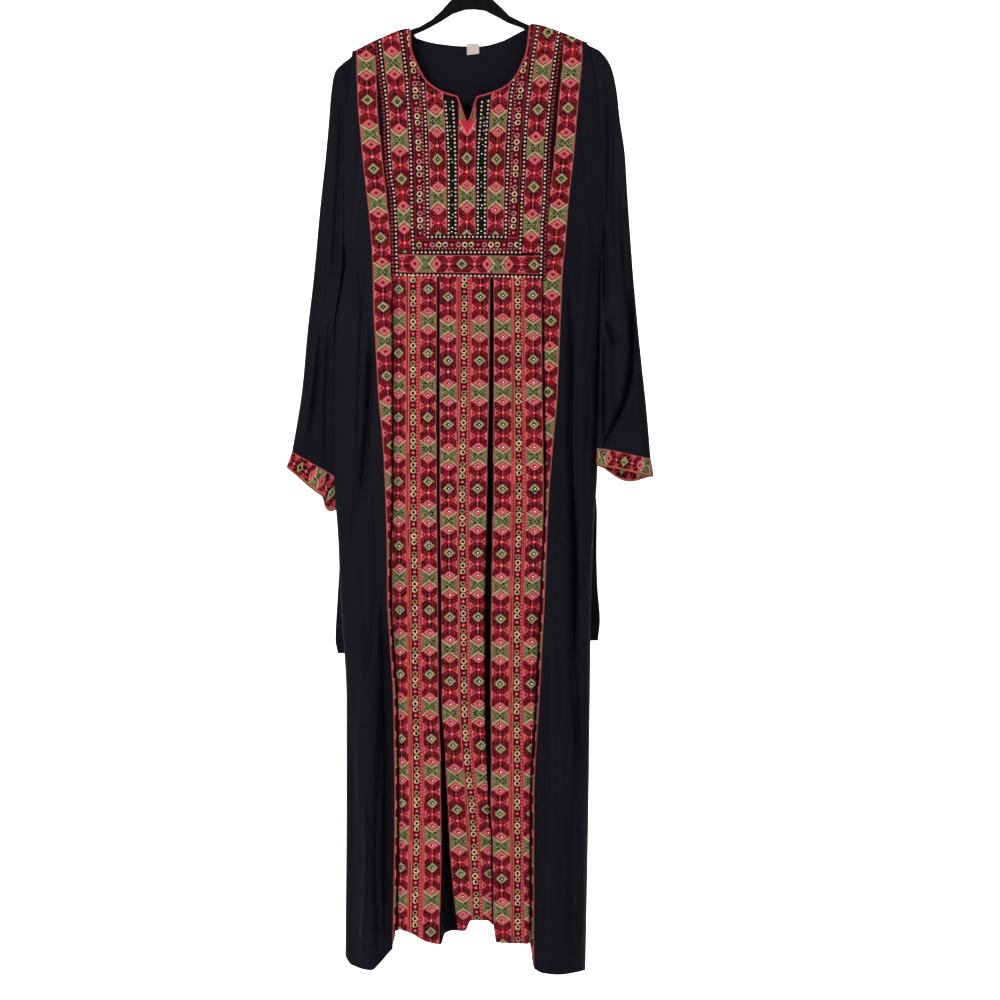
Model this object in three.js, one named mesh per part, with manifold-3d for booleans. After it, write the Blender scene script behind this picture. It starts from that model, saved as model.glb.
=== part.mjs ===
// A long black thobe dress with an embroidered front, hanging on a slim velvet hanger.
//
// Millimetres, +Z up. The front of the dress faces -Y and its right-hand side, seen from the front,
// is +X. The origin is the inside top of the hanger's hook, where a rail or a peg holds it.
//
// Every panel is a thin wall. Its outer face is a grid of points worked out from the tables below,
// and its inner face is that grid moved in along its normals by the cloth's thickness.

import * as THREE from 'three';
import Module from 'manifold-3d';
import { mergeVertices, toCreasedNormals } from 'three/addons/utils/BufferGeometryUtils.js';

const wasm = await Module();
wasm.setup();

// ---------- Driving sizes ----------

const CREPE = 1.2; // thickness of the plain cloth, seams and hems included
const WORKED = 1.8; // thickness of the embroidered cloth
const HALF_GAP = 0.15; // each piece stops this far short of a seam
const ARMHOLE_GAP = 1.5; // the sleeve head turns over the armhole edge, so it stands further off
const SHOULDER_ROUND = 9; // how far below the shoulder line the cloth rounds over the hanger
const LENS_POWER = 2.6; // how flat the body is across its width
const CHEST_FOOT = -521.5; // where the chest panel ends and the pleated skirt starts
const CHEST_FOOT_SLOPE = -0.012; // that seam is a little askew, as the hanger is

// Where the pleats start below the chest, and over what height they deepen.
const PLEAT_START = { z: -500, reach: 30 };
// The fold in each seam between the skirt and a front strip: how wide it is on the strip, what share of
// a narrow strip it may take and how deep its far edge lies, and how wide it is on the skirt.
const SEAM_FOLD = { onStrip: 3, stripShare: 0.45, lip: 0.15, leftSkirt: 2.6, rightSkirt: 2.4 };
const FLOOR_SHARE = 0.5; // how much of a valley's width is its floor
const FOLD_GROWTH = 1.6; // folds fade out where the wall turns in, and reach full depth this much sooner
const WIDE_COLUMN = 25; // a column of the skirt wider than this is divided
const ROUND_SHARE = 0.2; // a narrow sleeve rounds over this share of its width
const CREASE_ANGLE = 0.6;

// The tip of each arm is blunted. The hook's angles are in degrees.
const HANGER = { thickness: 6, bevel: 1, armDepth: 11, tipDrop: 7, leftTip: 3, rightTip: 2 };
const HOOK = {
  wire: 3.4, inner: 22, openEnd: 195, turnOut: -50, turn: 24.5, shankTop: -56, shankFoot: -69.6, steps: 48,
};
// Round the slit the band's inner edge is drawn to the columns given from the slit's tip.
const BINDING = { width: 3.2, thickness: 2.2, tip: 0.8, tipRise: 2.4, left: 0.2, right: 1.4 };
const LABEL = { left: -8, right: 11, top: -157, bottom: -175, slant: 2, thickness: 1 };
const TIE = { width: 16, thickness: 1.4 };

// ---------- Tables ----------

// The line of the shoulders from the left armhole to the right one. The hanger hangs a little askew.
const SHOULDER = [
  { x: -183, z: -169 },
  { x: -143, z: -149 },
  { x: -100, z: -134 },
  { x: 93, z: -127 },
  { x: 140, z: -140 },
  { x: 176, z: -155 },
];

// Sides of the body: the armhole down to about z -500, then the side seam. `open` is how deep the
// armhole stands open at that height, `round` how bluntly the wall turns in at the side.
const BODY = [
  { z: -127, left: -181, right: 171, open: 8, round: 1, front: 9, back: 9 },
  { z: -200, left: -190, right: 189, open: 9, round: 1, front: 11, back: 10 },
  { z: -300, left: -199, right: 200, open: 10, round: 1, front: 16, back: 13 },
  { z: -400, left: -199, right: 202, open: 10, round: 1, front: 21, back: 17 },
  { z: -460, left: -199, right: 203, open: 9, round: 1.2, front: 24, back: 19 },
  { z: -500, left: -200, right: 203, open: 1.2, round: 1.6, front: 26, back: 21 },
  { z: -530, left: -203, right: 202, open: 0.4, round: 2, front: 28, back: 22 },
  { z: -600, left: -213, right: 201, open: 0.4, round: 2.3, front: 32, back: 25 },
  { z: -714, left: -216, right: 200, open: 0.4, round: 2.3, front: 36, back: 28 },
  { z: -790, left: -216, right: 197, open: 0.4, round: 2.3, front: 38, back: 30 },
  { z: -839, left: -215, right: 195, open: 0.4, round: 2.3, front: 40, back: 31 },
  { z: -930, left: -209, right: 189, open: 0.4, round: 2.3, front: 43, back: 33 },
  { z: -1026, left: -205, right: 186, open: 0.4, round: 2.3, front: 46, back: 35 },
  { z: -1182, left: -196, right: 184, open: 0.4, round: 2.3, front: 50, back: 37 },
  { z: -1338, left: -196, right: 182, open: 0.4, round: 2.3, front: 53, back: 39 },
  { z: -1610, left: -198, right: 177, open: 0.4, round: 2.3, front: 56, back: 42 },
];

// Outer and inner edges of the two embroidered front strips. The outer edge meets the side front.
const STRIPS = [
  { z: -127, leftOut: -177, leftIn: -146, rightIn: 137, rightOut: 171 },
  { z: -171, leftOut: -180, leftIn: -145, rightIn: 136, rightOut: 172 },
  { z: -246, leftOut: -178, leftIn: -139, rightIn: 126, rightOut: 166 },
  { z: -340, leftOut: -170, leftIn: -132, rightIn: 120, rightOut: 158 },
  { z: -402, leftOut: -163, leftIn: -125, rightIn: 117, rightOut: 151 },
  { z: -464, leftOut: -157, leftIn: -123, rightIn: 113, rightOut: 146 },
  { z: -522, leftOut: -154, leftIn: -122.5, rightIn: 110, rightOut: 141 },
  { z: -558, leftOut: -153.5, leftIn: -123, rightIn: 110, rightOut: 139.5 },
  { z: -636, leftOut: -149.5, leftIn: -122.5, rightIn: 111, rightOut: 136 },
  { z: -714, leftOut: -145, leftIn: -122.5, rightIn: 111.5, rightOut: 132.5 },
  { z: -776, leftOut: -139, leftIn: -122.5, rightIn: 113, rightOut: 127 },
  { z: -870, leftOut: -134, leftIn: -122.5, rightIn: 113.5, rightOut: 119.5 },
  { z: -948, leftOut: -132, leftIn: -125.5, rightIn: 110, rightOut: 116 },
  { z: -1026, leftOut: -131.5, leftIn: -125, rightIn: 107, rightOut: 113 },
  { z: -1104, leftOut: -127, leftIn: -120.5, rightIn: 103, rightOut: 109 },
  { z: -1182, leftOut: -122, leftIn: -115.5, rightIn: 99, rightOut: 105 },
  { z: -1338, leftOut: -120, leftIn: -113.5, rightIn: 91, rightOut: 97 },
  { z: -1610, leftOut: -124, leftIn: -117, rightIn: 90, rightOut: 96.6 },
];

// The three pleat groups of the front skirt and the valleys between them. `slitAt` and `tuckAt` are
// the middles of the valleys, `slitHalf` and `tuckHalf` half their widths, and the other columns say
// how far each valley and each group lies behind the smooth front.
const PLEATS = [
  { z: -522, slitAt: -51.6, slitHalf: 1.4, slit: 3, tuckAt: 31, tuckHalf: 1.4, tuck: 3, side: 3, middle: 0 },
  { z: -558, slitAt: -51.5, slitHalf: 1.5, slit: 8, tuckAt: 31, tuckHalf: 1.7, tuck: 8, side: 8, middle: 0 },
  { z: -714, slitAt: -51.8, slitHalf: 2.1, slit: 12, tuckAt: 30, tuckHalf: 2.5, tuck: 12, side: 12, middle: 0 },
  { z: -870, slitAt: -52, slitHalf: 2.4, slit: 13, tuckAt: 27, tuckHalf: 4, tuck: 14, side: 12, middle: 1 },
  { z: -1026, slitAt: -49.6, slitHalf: 2.5, slit: 14, tuckAt: 24.3, tuckHalf: 6.2, tuck: 16, side: 14, middle: 3 },
  { z: -1182, slitAt: -49, slitHalf: 2.3, slit: 16, tuckAt: 23.9, tuckHalf: 4.8, tuck: 18, side: 16, middle: 6 },
  { z: -1276, slitAt: -43.7, slitHalf: 2.8, slit: 18, tuckAt: 25.6, tuckHalf: 3.4, tuck: 19, side: 17, middle: 8 },
  { z: -1338, slitAt: -42.8, slitHalf: 2.8, slit: 20, tuckAt: 27.5, tuckHalf: 1.5, tuck: 19, side: 18, middle: 9 },
  { z: -1416, slitAt: -39.8, slitHalf: 5.1, slit: 23, tuckAt: 31.7, tuckHalf: 1.4, tuck: 19, side: 18, middle: 10 },
  { z: -1494, slitAt: -35, slitHalf: 11.3, slit: 25, tuckAt: 32, tuckHalf: 1.4, tuck: 19, side: 18, middle: 11 },
  { z: -1610, slitAt: -26, slitHalf: 20, slit: 26, tuckAt: 35, tuckHalf: 1.4, tuck: 19, side: 18, middle: 12 },
];

// Long soft folds. `depth` is how far a fold's trough lies behind the smooth wall, and a ridge has a
// negative depth. A fold runs from (x0, z0) to (x1, z1) and fades over `fade` at its ends.
const FRONT_FOLDS = [
  { x0: -152, z0: -600, x1: -174, z1: -930, half: 7, depth: 8, fade: 120 },
  { x0: -172, z0: -560, x1: -190, z1: -960, half: 12, depth: -4, fade: 160 },
  { x0: -136, z0: -930, x1: -131, z1: -1700, half: 12, depth: 17, fade: 180 },
  { x0: -168, z0: -1050, x1: -160, z1: -1700, half: 14, depth: -6, fade: 200 },
  { x0: -188, z0: -1150, x1: -182, z1: -1700, half: 8, depth: 4, fade: 200 },
  { x0: 155, z0: -560, x1: 166, z1: -1380, half: 8, depth: 9, fade: 140 },
  { x0: 134, z0: -780, x1: 128, z1: -1700, half: 14, depth: -5, fade: 220 },
  { x0: 188, z0: -620, x1: 172, z1: -1300, half: 10, depth: -4, fade: 200 },
  { x0: 108, z0: -900, x1: 97, z1: -1700, half: 8, depth: 7, fade: 200 },
];
const BACK_FOLDS = [
  { x0: -110, z0: -420, x1: -140, z1: -1700, half: 18, depth: 9, fade: 260 },
  { x0: -60, z0: -600, x1: -70, z1: -1700, half: 22, depth: -7, fade: 300 },
  { x0: 8, z0: -340, x1: -8, z1: -1700, half: 18, depth: 10, fade: 320 },
  { x0: 62, z0: -560, x1: 74, z1: -1700, half: 20, depth: -8, fade: 260 },
  { x0: 118, z0: -400, x1: 132, z1: -1700, half: 16, depth: 9, fade: 240 },
];

// The front neckline from the left shoulder to the right one, with the slit's tip at its middle.
const NECK = [
  { x: -96.5, z: -136 },
  { x: -95, z: -168 },
  { x: -86, z: -191 },
  { x: -73, z: -215 },
  { x: -55, z: -230 },
  { x: -37, z: -238 },
  { x: -23, z: -241.5 },
  { x: -16, z: -262 },
  { x: -8, z: -284 },
];
const NECK_RIGHT = [
  { x: -2, z: -275 },
  { x: 4, z: -254 },
  { x: 8, z: -242.5 },
  { x: 28, z: -237 },
  { x: 51, z: -227 },
  { x: 67, z: -212 },
  { x: 78, z: -191 },
  { x: 86, z: -168 },
  { x: 90.5, z: -129 },
];
// The back neckline.
const BACK_NECK = [
  { x: -97.5, z: -134.2 },
  { x: -96, z: -137.5 },
  { x: -89, z: -147 },
  { x: -50, z: -157.5 },
  { x: -9, z: -161 },
  { x: 13, z: -161 },
  { x: 44, z: -154 },
  { x: 76, z: -138 },
  { x: 89, z: -131 },
  { x: 91, z: -127.3 },
];

// Hems, each from its panel's left edge to its right edge.
const HEM_SIDE_LEFT = [
  { x: -198, z: -1580 },
  { x: -187, z: -1593 },
  { x: -156, z: -1599 },
  { x: -142, z: -1588 },
  { x: -124, z: -1566 },
];
const HEM_STRIP_LEFT = [
  { x: -124, z: -1562 },
  { x: -117, z: -1534 },
];
const HEM_SKIRT = [
  { x: -118, z: -1533 },
  { x: -97, z: -1539 },
  { x: -70, z: -1553 },
  { x: -48, z: -1557 },
  { x: -40, z: -1539 },
  { x: -10, z: -1537 },
  { x: -1, z: -1521 },
  { x: 23, z: -1521 },
  { x: 33, z: -1529 },
  { x: 38, z: -1554 },
  { x: 90, z: -1557 },
];
const HEM_STRIP_RIGHT = [
  { x: 90, z: -1558 },
  { x: 96, z: -1593.6 },
];
const HEM_SIDE_RIGHT = [
  { x: 96, z: -1596 },
  { x: 110, z: -1603 },
  { x: 140, z: -1606 },
  { x: 177, z: -1602 },
];
const HEM_BACK = [
  { x: -198, z: -1572 },
  { x: -120, z: -1546 },
  { x: -40, z: -1526 },
  { x: 20, z: -1515 },
  { x: 90, z: -1546 },
  { x: 178, z: -1588 },
];

// Sections of the sleeves, from the armhole to the cuff. Each is a flat loop from the sleeve's outer
// fold (ox, oz) to its inner fold (ix, iz), `y` is its middle and `half` half its depth.
const SLEEVE_LEFT = [
  { ox: -184, oz: -170, ix: -200.5, iz: -499, y: 0, half: 9.5 },
  { ox: -200, oz: -187, ix: -201.6, iz: -506, y: 0, half: 10 },
  { ox: -214, oz: -203, ix: -202.6, iz: -515, y: 0, half: 10 },
  { ox: -219.5, oz: -232, ix: -204.2, iz: -532, y: 1, half: 10 },
  { ox: -224, oz: -285, ix: -208.1, iz: -558, y: 3, half: 10 },
  { ox: -228.5, oz: -333, ix: -212.6, iz: -588, y: 6, half: 10 },
  { ox: -237, oz: -408, ix: -215.6, iz: -630, y: 12, half: 10 },
  { ox: -248, oz: -522, ix: -211, iz: -690, y: 18, half: 10 },
  { ox: -257.5, oz: -603, ix: -207, iz: -740, y: 21, half: 11 },
  { ox: -267, oz: -702, ix: -205, iz: -790, y: 24, half: 12 },
  { ox: -282, oz: -793, ix: -203, iz: -838, y: 26, half: 13 },
];
const SLEEVE_RIGHT = [
  { ox: 176.5, oz: -154, ix: 204, iz: -476, y: 0, half: 9.5 },
  { ox: 198, oz: -168, ix: 206, iz: -492, y: 0, half: 10 },
  { ox: 216.5, oz: -193, ix: 203.6, iz: -514, y: 0, half: 10 },
  { ox: 225.5, oz: -230, ix: 202.8, iz: -545, y: -2, half: 10 },
  { ox: 231, oz: -279, ix: 202.3, iz: -582, y: -6, half: 10 },
  { ox: 238.5, oz: -333, ix: 201.5, iz: -622, y: -11, half: 10 },
  { ox: 242, oz: -393, ix: 199.5, iz: -660, y: -15, half: 10 },
  { ox: 249.5, oz: -500, ix: 198, iz: -702, y: -18, half: 11 },
  { ox: 256, oz: -577, ix: 197.5, iz: -738, y: -19, half: 12 },
  { ox: 264, oz: -658, ix: 197.5, iz: -765, y: -20, half: 13 },
  { ox: 271.5, oz: -728, ix: 198, iz: -780, y: -20, half: 14 },
  { ox: 278, oz: -805, ix: 200, iz: -788, y: -20, half: 15 },
];
// The cuffs' sections. The back of each cuff hangs `drop` lower than its front.
const CUFF_LEFT = [
  { ox: -282.2, oz: -794, ix: -203, iz: -839, y: 26, half: 13, drop: 0 },
  { ox: -287, oz: -807, ix: -206, iz: -861, y: 26, half: 15, drop: 2 },
  { ox: -291, oz: -819, ix: -209, iz: -882, y: 26, half: 17, drop: 4 },
];
const CUFF_RIGHT = [
  { ox: 278.1, oz: -806, ix: 199.8, iz: -789, y: -20, half: 15, drop: 0 },
  { ox: 281, oz: -820, ix: 198, iz: -802, y: -21, half: 17, drop: 9 },
  { ox: 282.5, oz: -834, ix: 196, iz: -815.5, y: -22, half: 19, drop: 16 },
];
// The right sleeve's long curved fold, on its front face, by height.
const SLEEVE_FOLD = [
  { z: -480, x: 247, depth: 0 },
  { z: -550, x: 249, depth: 5 },
  { z: -658, x: 248, depth: 8 },
  { z: -712, x: 238, depth: 8 },
  { z: -772, x: 212, depth: 5 },
  { z: -800, x: 204, depth: 0 },
];
const SLEEVE_FOLD_HALF = 8;

// The ties hang behind the side seams. Each row is the middle of the strap.
const TIE_LEFT = [
  { x: -197, z: -905, y: 21 },
  { x: -199, z: -960, y: 21 },
  { x: -203, z: -1026, y: 20 },
  { x: -206, z: -1088, y: 19 },
  { x: -202, z: -1110, y: 19 },
];
const TIE_RIGHT = [
  { x: 188, z: -850, y: 16 },
  { x: 187, z: -948, y: 17 },
  { x: 188, z: -1000, y: 16 },
  { x: 192, z: -1058, y: 15 },
  { x: 189, z: -1090, y: 15 },
];

// The hanger's upper edge where it shows in the neck, and its lower arch.
const HANGER_CROWN = [
  { x: -80, z: -131 },
  { x: -62, z: -120 },
  { x: -47, z: -106 },
  { x: -33, z: -90 },
  { x: -18, z: -75 },
  { x: 0, z: -70 },
  { x: 18, z: -75 },
  { x: 33, z: -90 },
  { x: 45, z: -101 },
  { x: 59, z: -115 },
  { x: 75, z: -123 },
];
const HANGER_ARCH = [
  { x: 76, z: -133 },
  { x: 56, z: -126 },
  { x: 39, z: -116.5 },
  { x: 20, z: -107 },
  { x: 5, z: -105 },
  { x: -11, z: -105.6 },
  { x: -30, z: -112 },
  { x: -47, z: -123 },
  { x: -69, z: -135 },
];
const HANGER_LEFT_ARM = [
  { x: -100, z: -138 },
  { x: -143, z: -153 },
  { x: -181, z: -172 },
  { x: -207, z: -199.5 },
];
const HANGER_RIGHT_ARM = [
  { x: 93, z: -131 },
  { x: 140, z: -144 },
  { x: 173, z: -158 },
  { x: 194, z: -170.5 },
  { x: 212, z: -194 },
];

// ---------- Reading the tables ----------

// A smooth curve through one column of a table, read at `value` of its `key` column.
function read(table, key, column, value) {
  const rising = table[1][key] > table[0][key];
  const last = table.length - 1;
  let i = 0;
  while (i < last - 1 && (rising ? value > table[i + 1][key] : value < table[i + 1][key])) i += 1;
  const a = table[i];
  const b = table[i + 1];
  const span = b[key] - a[key];
  const s = Math.min(Math.max((value - a[key]) / span, 0), 1);
  const slope = (from, to) => (to[column] - from[column]) / (to[key] - from[key]);
  const chord = slope(a, b);
  const before = i > 0 ? slope(table[i - 1], a) : chord;
  const after = i < last - 1 ? slope(b, table[i + 2]) : chord;
  // A slope of zero where the column turns round keeps the curve inside its rows.
  const startSlope = before * chord > 0 ? (2 * before * chord) / (before + chord) : 0;
  const endSlope = after * chord > 0 ? (2 * after * chord) / (after + chord) : 0;
  const s2 = s * s;
  const s3 = s2 * s;
  return (2 * s3 - 3 * s2 + 1) * a[column] + (s3 - 2 * s2 + s) * span * startSlope
    + (3 * s2 - 2 * s3) * b[column] + (s3 - s2) * span * endSlope;
}

const blend = (a, b, s) => a + (b - a) * s;
const evenPlaces = (count) => Array.from({ length: count + 1 }, (_, i) => i / count);
const clamp01 = (s) => Math.min(Math.max(s, 0), 1);
const smooth = (s) => clamp01(s) ** 2 * (3 - 2 * clamp01(s));
// A quarter round: 0 at the edge of the cloth, 1 once `reach` or more away from it.
const quarterRound = (distance, reach) => Math.sqrt(Math.max(1 - (1 - clamp01(distance / reach)) ** 2, 0));

const body = (column, z) => read(BODY, 'z', column, z);
const strip = (column, z) => read(STRIPS, 'z', column, z);
const pleat = (column, z) => read(PLEATS, 'z', column, z);
const shoulder = (x) => read(SHOULDER, 'x', 'z', x);

// ---------- The front and the back as smooth surfaces ----------

function foldDepth(folds, x, z) {
  let depth = 0;
  for (const fold of folds) {
    const along = (fold.z0 - z) / (fold.z0 - fold.z1);
    const middle = blend(fold.x0, fold.x1, along);
    const fadeIn = smooth((fold.z0 - z) / fold.fade);
    const fadeOut = smooth((z - fold.z1) / fold.fade);
    depth += fold.depth * fadeIn * fadeOut * Math.exp(-(((x - middle) / fold.half) ** 2));
  }
  return depth;
}

// How far a point of the embroidered front lies behind the smooth front, for its pleats.
function pleatDepth(x, z) {
  if (z > PLEAT_START.z) return 0;
  const start = smooth((PLEAT_START.z - z) / PLEAT_START.reach);
  const knots = pleatKnots(z);
  let i = 0;
  while (i < knots.length - 2 && x > knots[i + 1].x) i += 1;
  const a = knots[i];
  const b = knots[i + 1];
  return start * blend(a.depth, b.depth, clamp01((x - a.x) / (b.x - a.x)));
}

// The edges of the pleat groups and of the valleys at a height, from left to right.
function pleatKnots(z) {
  const row = {};
  for (const column of Object.keys(PLEATS[0])) row[column] = pleat(column, z);
  const left = strip('leftIn', z);
  const right = strip('rightIn', z);
  const stripFold = (width) => Math.min(SEAM_FOLD.onStrip, width * SEAM_FOLD.stripShare);
  const leftFold = stripFold(left - strip('leftOut', z));
  const rightFold = stripFold(strip('rightOut', z) - right);
  const slitFloor = row.slitHalf * FLOOR_SHARE;
  const tuckFloor = row.tuckHalf * FLOOR_SHARE;
  return [
    { x: left - leftFold, depth: row.side * SEAM_FOLD.lip },
    { x: left, depth: row.side },
    { x: left + SEAM_FOLD.leftSkirt, depth: 0 },
    { x: row.slitAt - row.slitHalf, depth: 0 },
    { x: row.slitAt - slitFloor, depth: row.slit },
    { x: row.slitAt + slitFloor, depth: row.slit },
    { x: row.slitAt + row.slitHalf, depth: row.middle },
    { x: row.tuckAt - row.tuckHalf, depth: row.middle },
    { x: row.tuckAt - tuckFloor, depth: row.tuck },
    { x: row.tuckAt + tuckFloor, depth: row.tuck },
    { x: row.tuckAt + row.tuckHalf, depth: 0 },
    { x: right - SEAM_FOLD.rightSkirt, depth: 0 },
    { x: right, depth: row.side },
    { x: right + rightFold, depth: row.side * SEAM_FOLD.lip },
  ];
}

// Depth of the wall in front of or behind the middle plane of the dress.
function wallDepth(side, x, z) {
  const left = body('left', z);
  const right = body('right', z);
  const across = Math.min(Math.abs((x - (left + right) / 2) / ((right - left) / 2)), 1);
  const swell = (1 - across ** LENS_POWER) ** (1 / body('round', z));
  const smoothWall = blend(body('open', z), body(side, z), swell);
  const isFront = side === 'front';
  const folds = isFront ? foldDepth(FRONT_FOLDS, x, z) + pleatDepth(x, z) : foldDepth(BACK_FOLDS, x, z);
  const overHanger = quarterRound(shoulder(x) - z, SHOULDER_ROUND);
  return Math.max((smoothWall - folds * Math.min(swell * FOLD_GROWTH, 1)) * overHanger, HALF_GAP);
}

// A face of the body: its points, its normals, and the side of the middle plane it lies on, where the
// front and the back meet at the shoulders and the side seams.
const SLOPE_STEP = 1;
function bodyFace(side) {
  const sign = side === 'front' ? -1 : 1;
  const depth = (x, z) => wallDepth(side, x, z);
  return {
    point: (x, z) => new THREE.Vector3(x, sign * depth(x, z), z),
    normal: ({ x, z }) => {
      const acrossX = (depth(x + SLOPE_STEP, z) - depth(x - SLOPE_STEP, z)) / (2 * SLOPE_STEP);
      const acrossZ = (depth(x, z + SLOPE_STEP) - depth(x, z - SLOPE_STEP)) / (2 * SLOPE_STEP);
      return new THREE.Vector3(-acrossX, sign, -acrossZ).normalize();
    },
    sign,
  };
}
const FRONT = bodyFace('front');
const BACK = bodyFace('back');

// ---------- Walls from grids ----------

// Seen from outside, a grid's columns run from left to right and its rows from top to bottom.
function gridNormals(grid) {
  const lastRow = grid.length - 1;
  const lastColumn = grid[0].length - 1;
  return grid.map((row, r) => row.map((point, c) => {
    const across = row[Math.min(c + 1, lastColumn)].clone().sub(row[Math.max(c - 1, 0)]);
    const down = grid[Math.min(r + 1, lastRow)][c].clone().sub(grid[Math.max(r - 1, 0)][c]);
    return down.cross(across).normalize();
  }));
}

// Cloth as an outer and an inner grid. On a face, the inner one stays on that face's side of the middle
// plane, whose y is given for each row.
function cloth(outer, thickness, { face = null, normals = null, middles = null } = {}) {
  const away = normals ?? (face ? outer.map((row) => row.map(face.normal)) : gridNormals(outer));
  const inner = outer.map((row, r) => row.map((point, c) => {
    const moved = point.clone().addScaledVector(away[r][c], -thickness);
    const middle = middles ? middles[r] : 0;
    if (face) moved.y = middle + face.sign * Math.max(face.sign * (moved.y - middle), HALF_GAP);
    return moved;
  }));
  return { outer, inner };
}

// Part of a cloth, from one row to another and from one column to another. Where it was cut off from the
// rest, it stops half a gap short, measured square to the cut.
function cut({ outer, inner }, [top, bottom], [left, right] = [0, outer[0].length - 1]) {
  const lastRow = outer.length - 1;
  const lastColumn = outer[0].length - 1;
  const shortened = (grid, r, c) => {
    const point = grid[r][c].clone();
    const after = outer[r][Math.min(c + 1, lastColumn)];
    const before = outer[r][Math.max(c - 1, 0)];
    const below = outer[Math.min(r + 1, lastRow)][c];
    const above = outer[Math.max(r - 1, 0)][c];
    const alongRow = after.clone().sub(before).normalize();
    const alongColumn = below.clone().sub(above).normalize();
    const draw = (r2, c2, alongCut) => {
      const away = outer[r2][c2].clone().sub(outer[r][c]);
      const share = HALF_GAP / away.cross(alongCut).length();
      point.addScaledVector(grid[r2][c2].clone().sub(grid[r][c]), share);
    };
    if (r === top && top > 0) draw(r + 1, c, alongRow);
    if (r === bottom && bottom < lastRow) draw(r - 1, c, alongRow);
    if (c === left && left > 0) draw(r, c + 1, alongColumn);
    if (c === right && right < lastColumn) draw(r, c - 1, alongColumn);
    return point;
  };
  const part = (grid) => grid.slice(top, bottom + 1).map((row, i) => (
    row.slice(left, right + 1).map((_, j) => shortened(grid, top + i, left + j))
  ));
  return { outer: part(outer), inner: part(inner) };
}

function wall({ outer, inner }) {
  const rows = outer.length;
  const columns = outer[0].length;
  const inside = rows * columns;
  const positions = [...outer.flat(), ...inner.flat()].flatMap((point) => point.toArray());
  const faces = [];
  const quad = (a, b, c, d) => faces.push(a, b, c, a, c, d);
  const out = (r, c) => r * columns + c;
  const back = (r, c) => inside + out(r, c);
  for (let r = 0; r < rows - 1; r += 1) {
    for (let c = 0; c < columns - 1; c += 1) {
      quad(out(r, c), out(r + 1, c), out(r + 1, c + 1), out(r, c + 1));
      quad(back(r, c), back(r, c + 1), back(r + 1, c + 1), back(r + 1, c));
    }
  }
  const end = rows - 1;
  const side = columns - 1;
  for (let c = 0; c < side; c += 1) {
    quad(out(0, c), out(0, c + 1), back(0, c + 1), back(0, c));
    quad(out(end, c), back(end, c), back(end, c + 1), out(end, c + 1));
  }
  for (let r = 0; r < end; r += 1) {
    quad(out(r, 0), back(r, 0), back(r + 1, 0), out(r + 1, 0));
    quad(out(r, side), out(r + 1, side), back(r + 1, side), back(r, side));
  }
  const geometry = new THREE.BufferGeometry();
  geometry.setAttribute('position', new THREE.Float32BufferAttribute(positions, 3));
  geometry.setIndex(faces);
  geometry.computeVertexNormals();
  return toCreasedNormals(geometry, CREASE_ANGLE);
}

// A panel on the front or the back. `across` are the column places, `down` the row places, `edge`
// gives x for a column place and a height, `top` and `bottom` give z for an x. An edge leans a little, so
// each place is found in a few passes from a height to start with.
const PASSES = 4;
const START = -400;
const SHOULDER_START = -150;
function panel({ across, down, edge, top, bottom, point }) {
  return down.map((rowAt) => across.map((u) => {
    let z = START;
    for (let pass = 0; pass < PASSES; pass += 1) {
      const x = edge(u, z);
      z = rowAt(top(x), bottom(x), x);
    }
    return point(edge(u, z), z);
  }));
}

// Row places, as functions from a column's top and bottom to a height. All the panels share them, so
// that neighbours meet row by row: round the shoulder, down the chest, and down the skirt.
const CHEST_ROWS = 7;
const SKIRT_ROWS = 12;
const chestFoot = (x) => CHEST_FOOT + x * CHEST_FOOT_SLOPE;
const ROUND_ROWS = [0, 0.14, 0.5, 1]; // shares of a round's reach
const shoulderRows = ROUND_ROWS.map((share) => (top) => top - share * SHOULDER_ROUND);
const chestRows = evenPlaces(CHEST_ROWS).slice(1).map((s) => (top, bottom, x) => (
  blend(top - SHOULDER_ROUND, chestFoot(x), s)
));
const skirtRows = evenPlaces(SKIRT_ROWS).map((s) => (top, bottom, x) => blend(chestFoot(x), bottom, s));
const FULL_LENGTH = [...shoulderRows, ...chestRows, ...skirtRows.slice(1)];
// The long panels bend round the body's hollow, so each is made in lengths that follow it. These are the
// first and the last row of each, and the skirt's own rows start at the chest's foot.
const LENGTHS = { chest: [0, 10], hip: [10, 16], hem: [16, 22] };
const STRIP_LENGTHS = { chest: [0, 7], skirt: [7, 22] };
const SKIRT_LENGTHS = { hip: [0, 6], hem: [6, 12] };
// Places that crowd towards 0, where a wall turns in at the side of the body.
const turningPlaces = (count) => evenPlaces(count).map((s) => 1 - Math.cos((s * Math.PI) / 2));

// Where the column at place `u` meets the shoulder line.
function onShoulder(u, edge) {
  let z = SHOULDER_START;
  for (let pass = 0; pass < PASSES; pass += 1) z = shoulder(edge(u, z));
  return { u, z };
}

const hem = (table) => (x) => read(table, 'x', 'z', x) + HALF_GAP;

// ---------- Pieces of the body ----------

function stripPanel(outColumn, inColumn, hemTable, outIsLeft) {
  const places = evenPlaces(4);
  const edge = (u, z) => {
    const out = strip(outColumn, z) + (outIsLeft ? HALF_GAP : -HALF_GAP);
    const inner = strip(inColumn, z) + (outIsLeft ? -HALF_GAP : HALF_GAP);
    return outIsLeft ? blend(out, inner, u) : blend(inner, out, u);
  };
  const grid = panel({
    across: places, down: FULL_LENGTH, edge, top: shoulder, bottom: hem(hemTable), point: FRONT.point,
  });
  return cloth(grid, WORKED, { face: FRONT });
}

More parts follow.
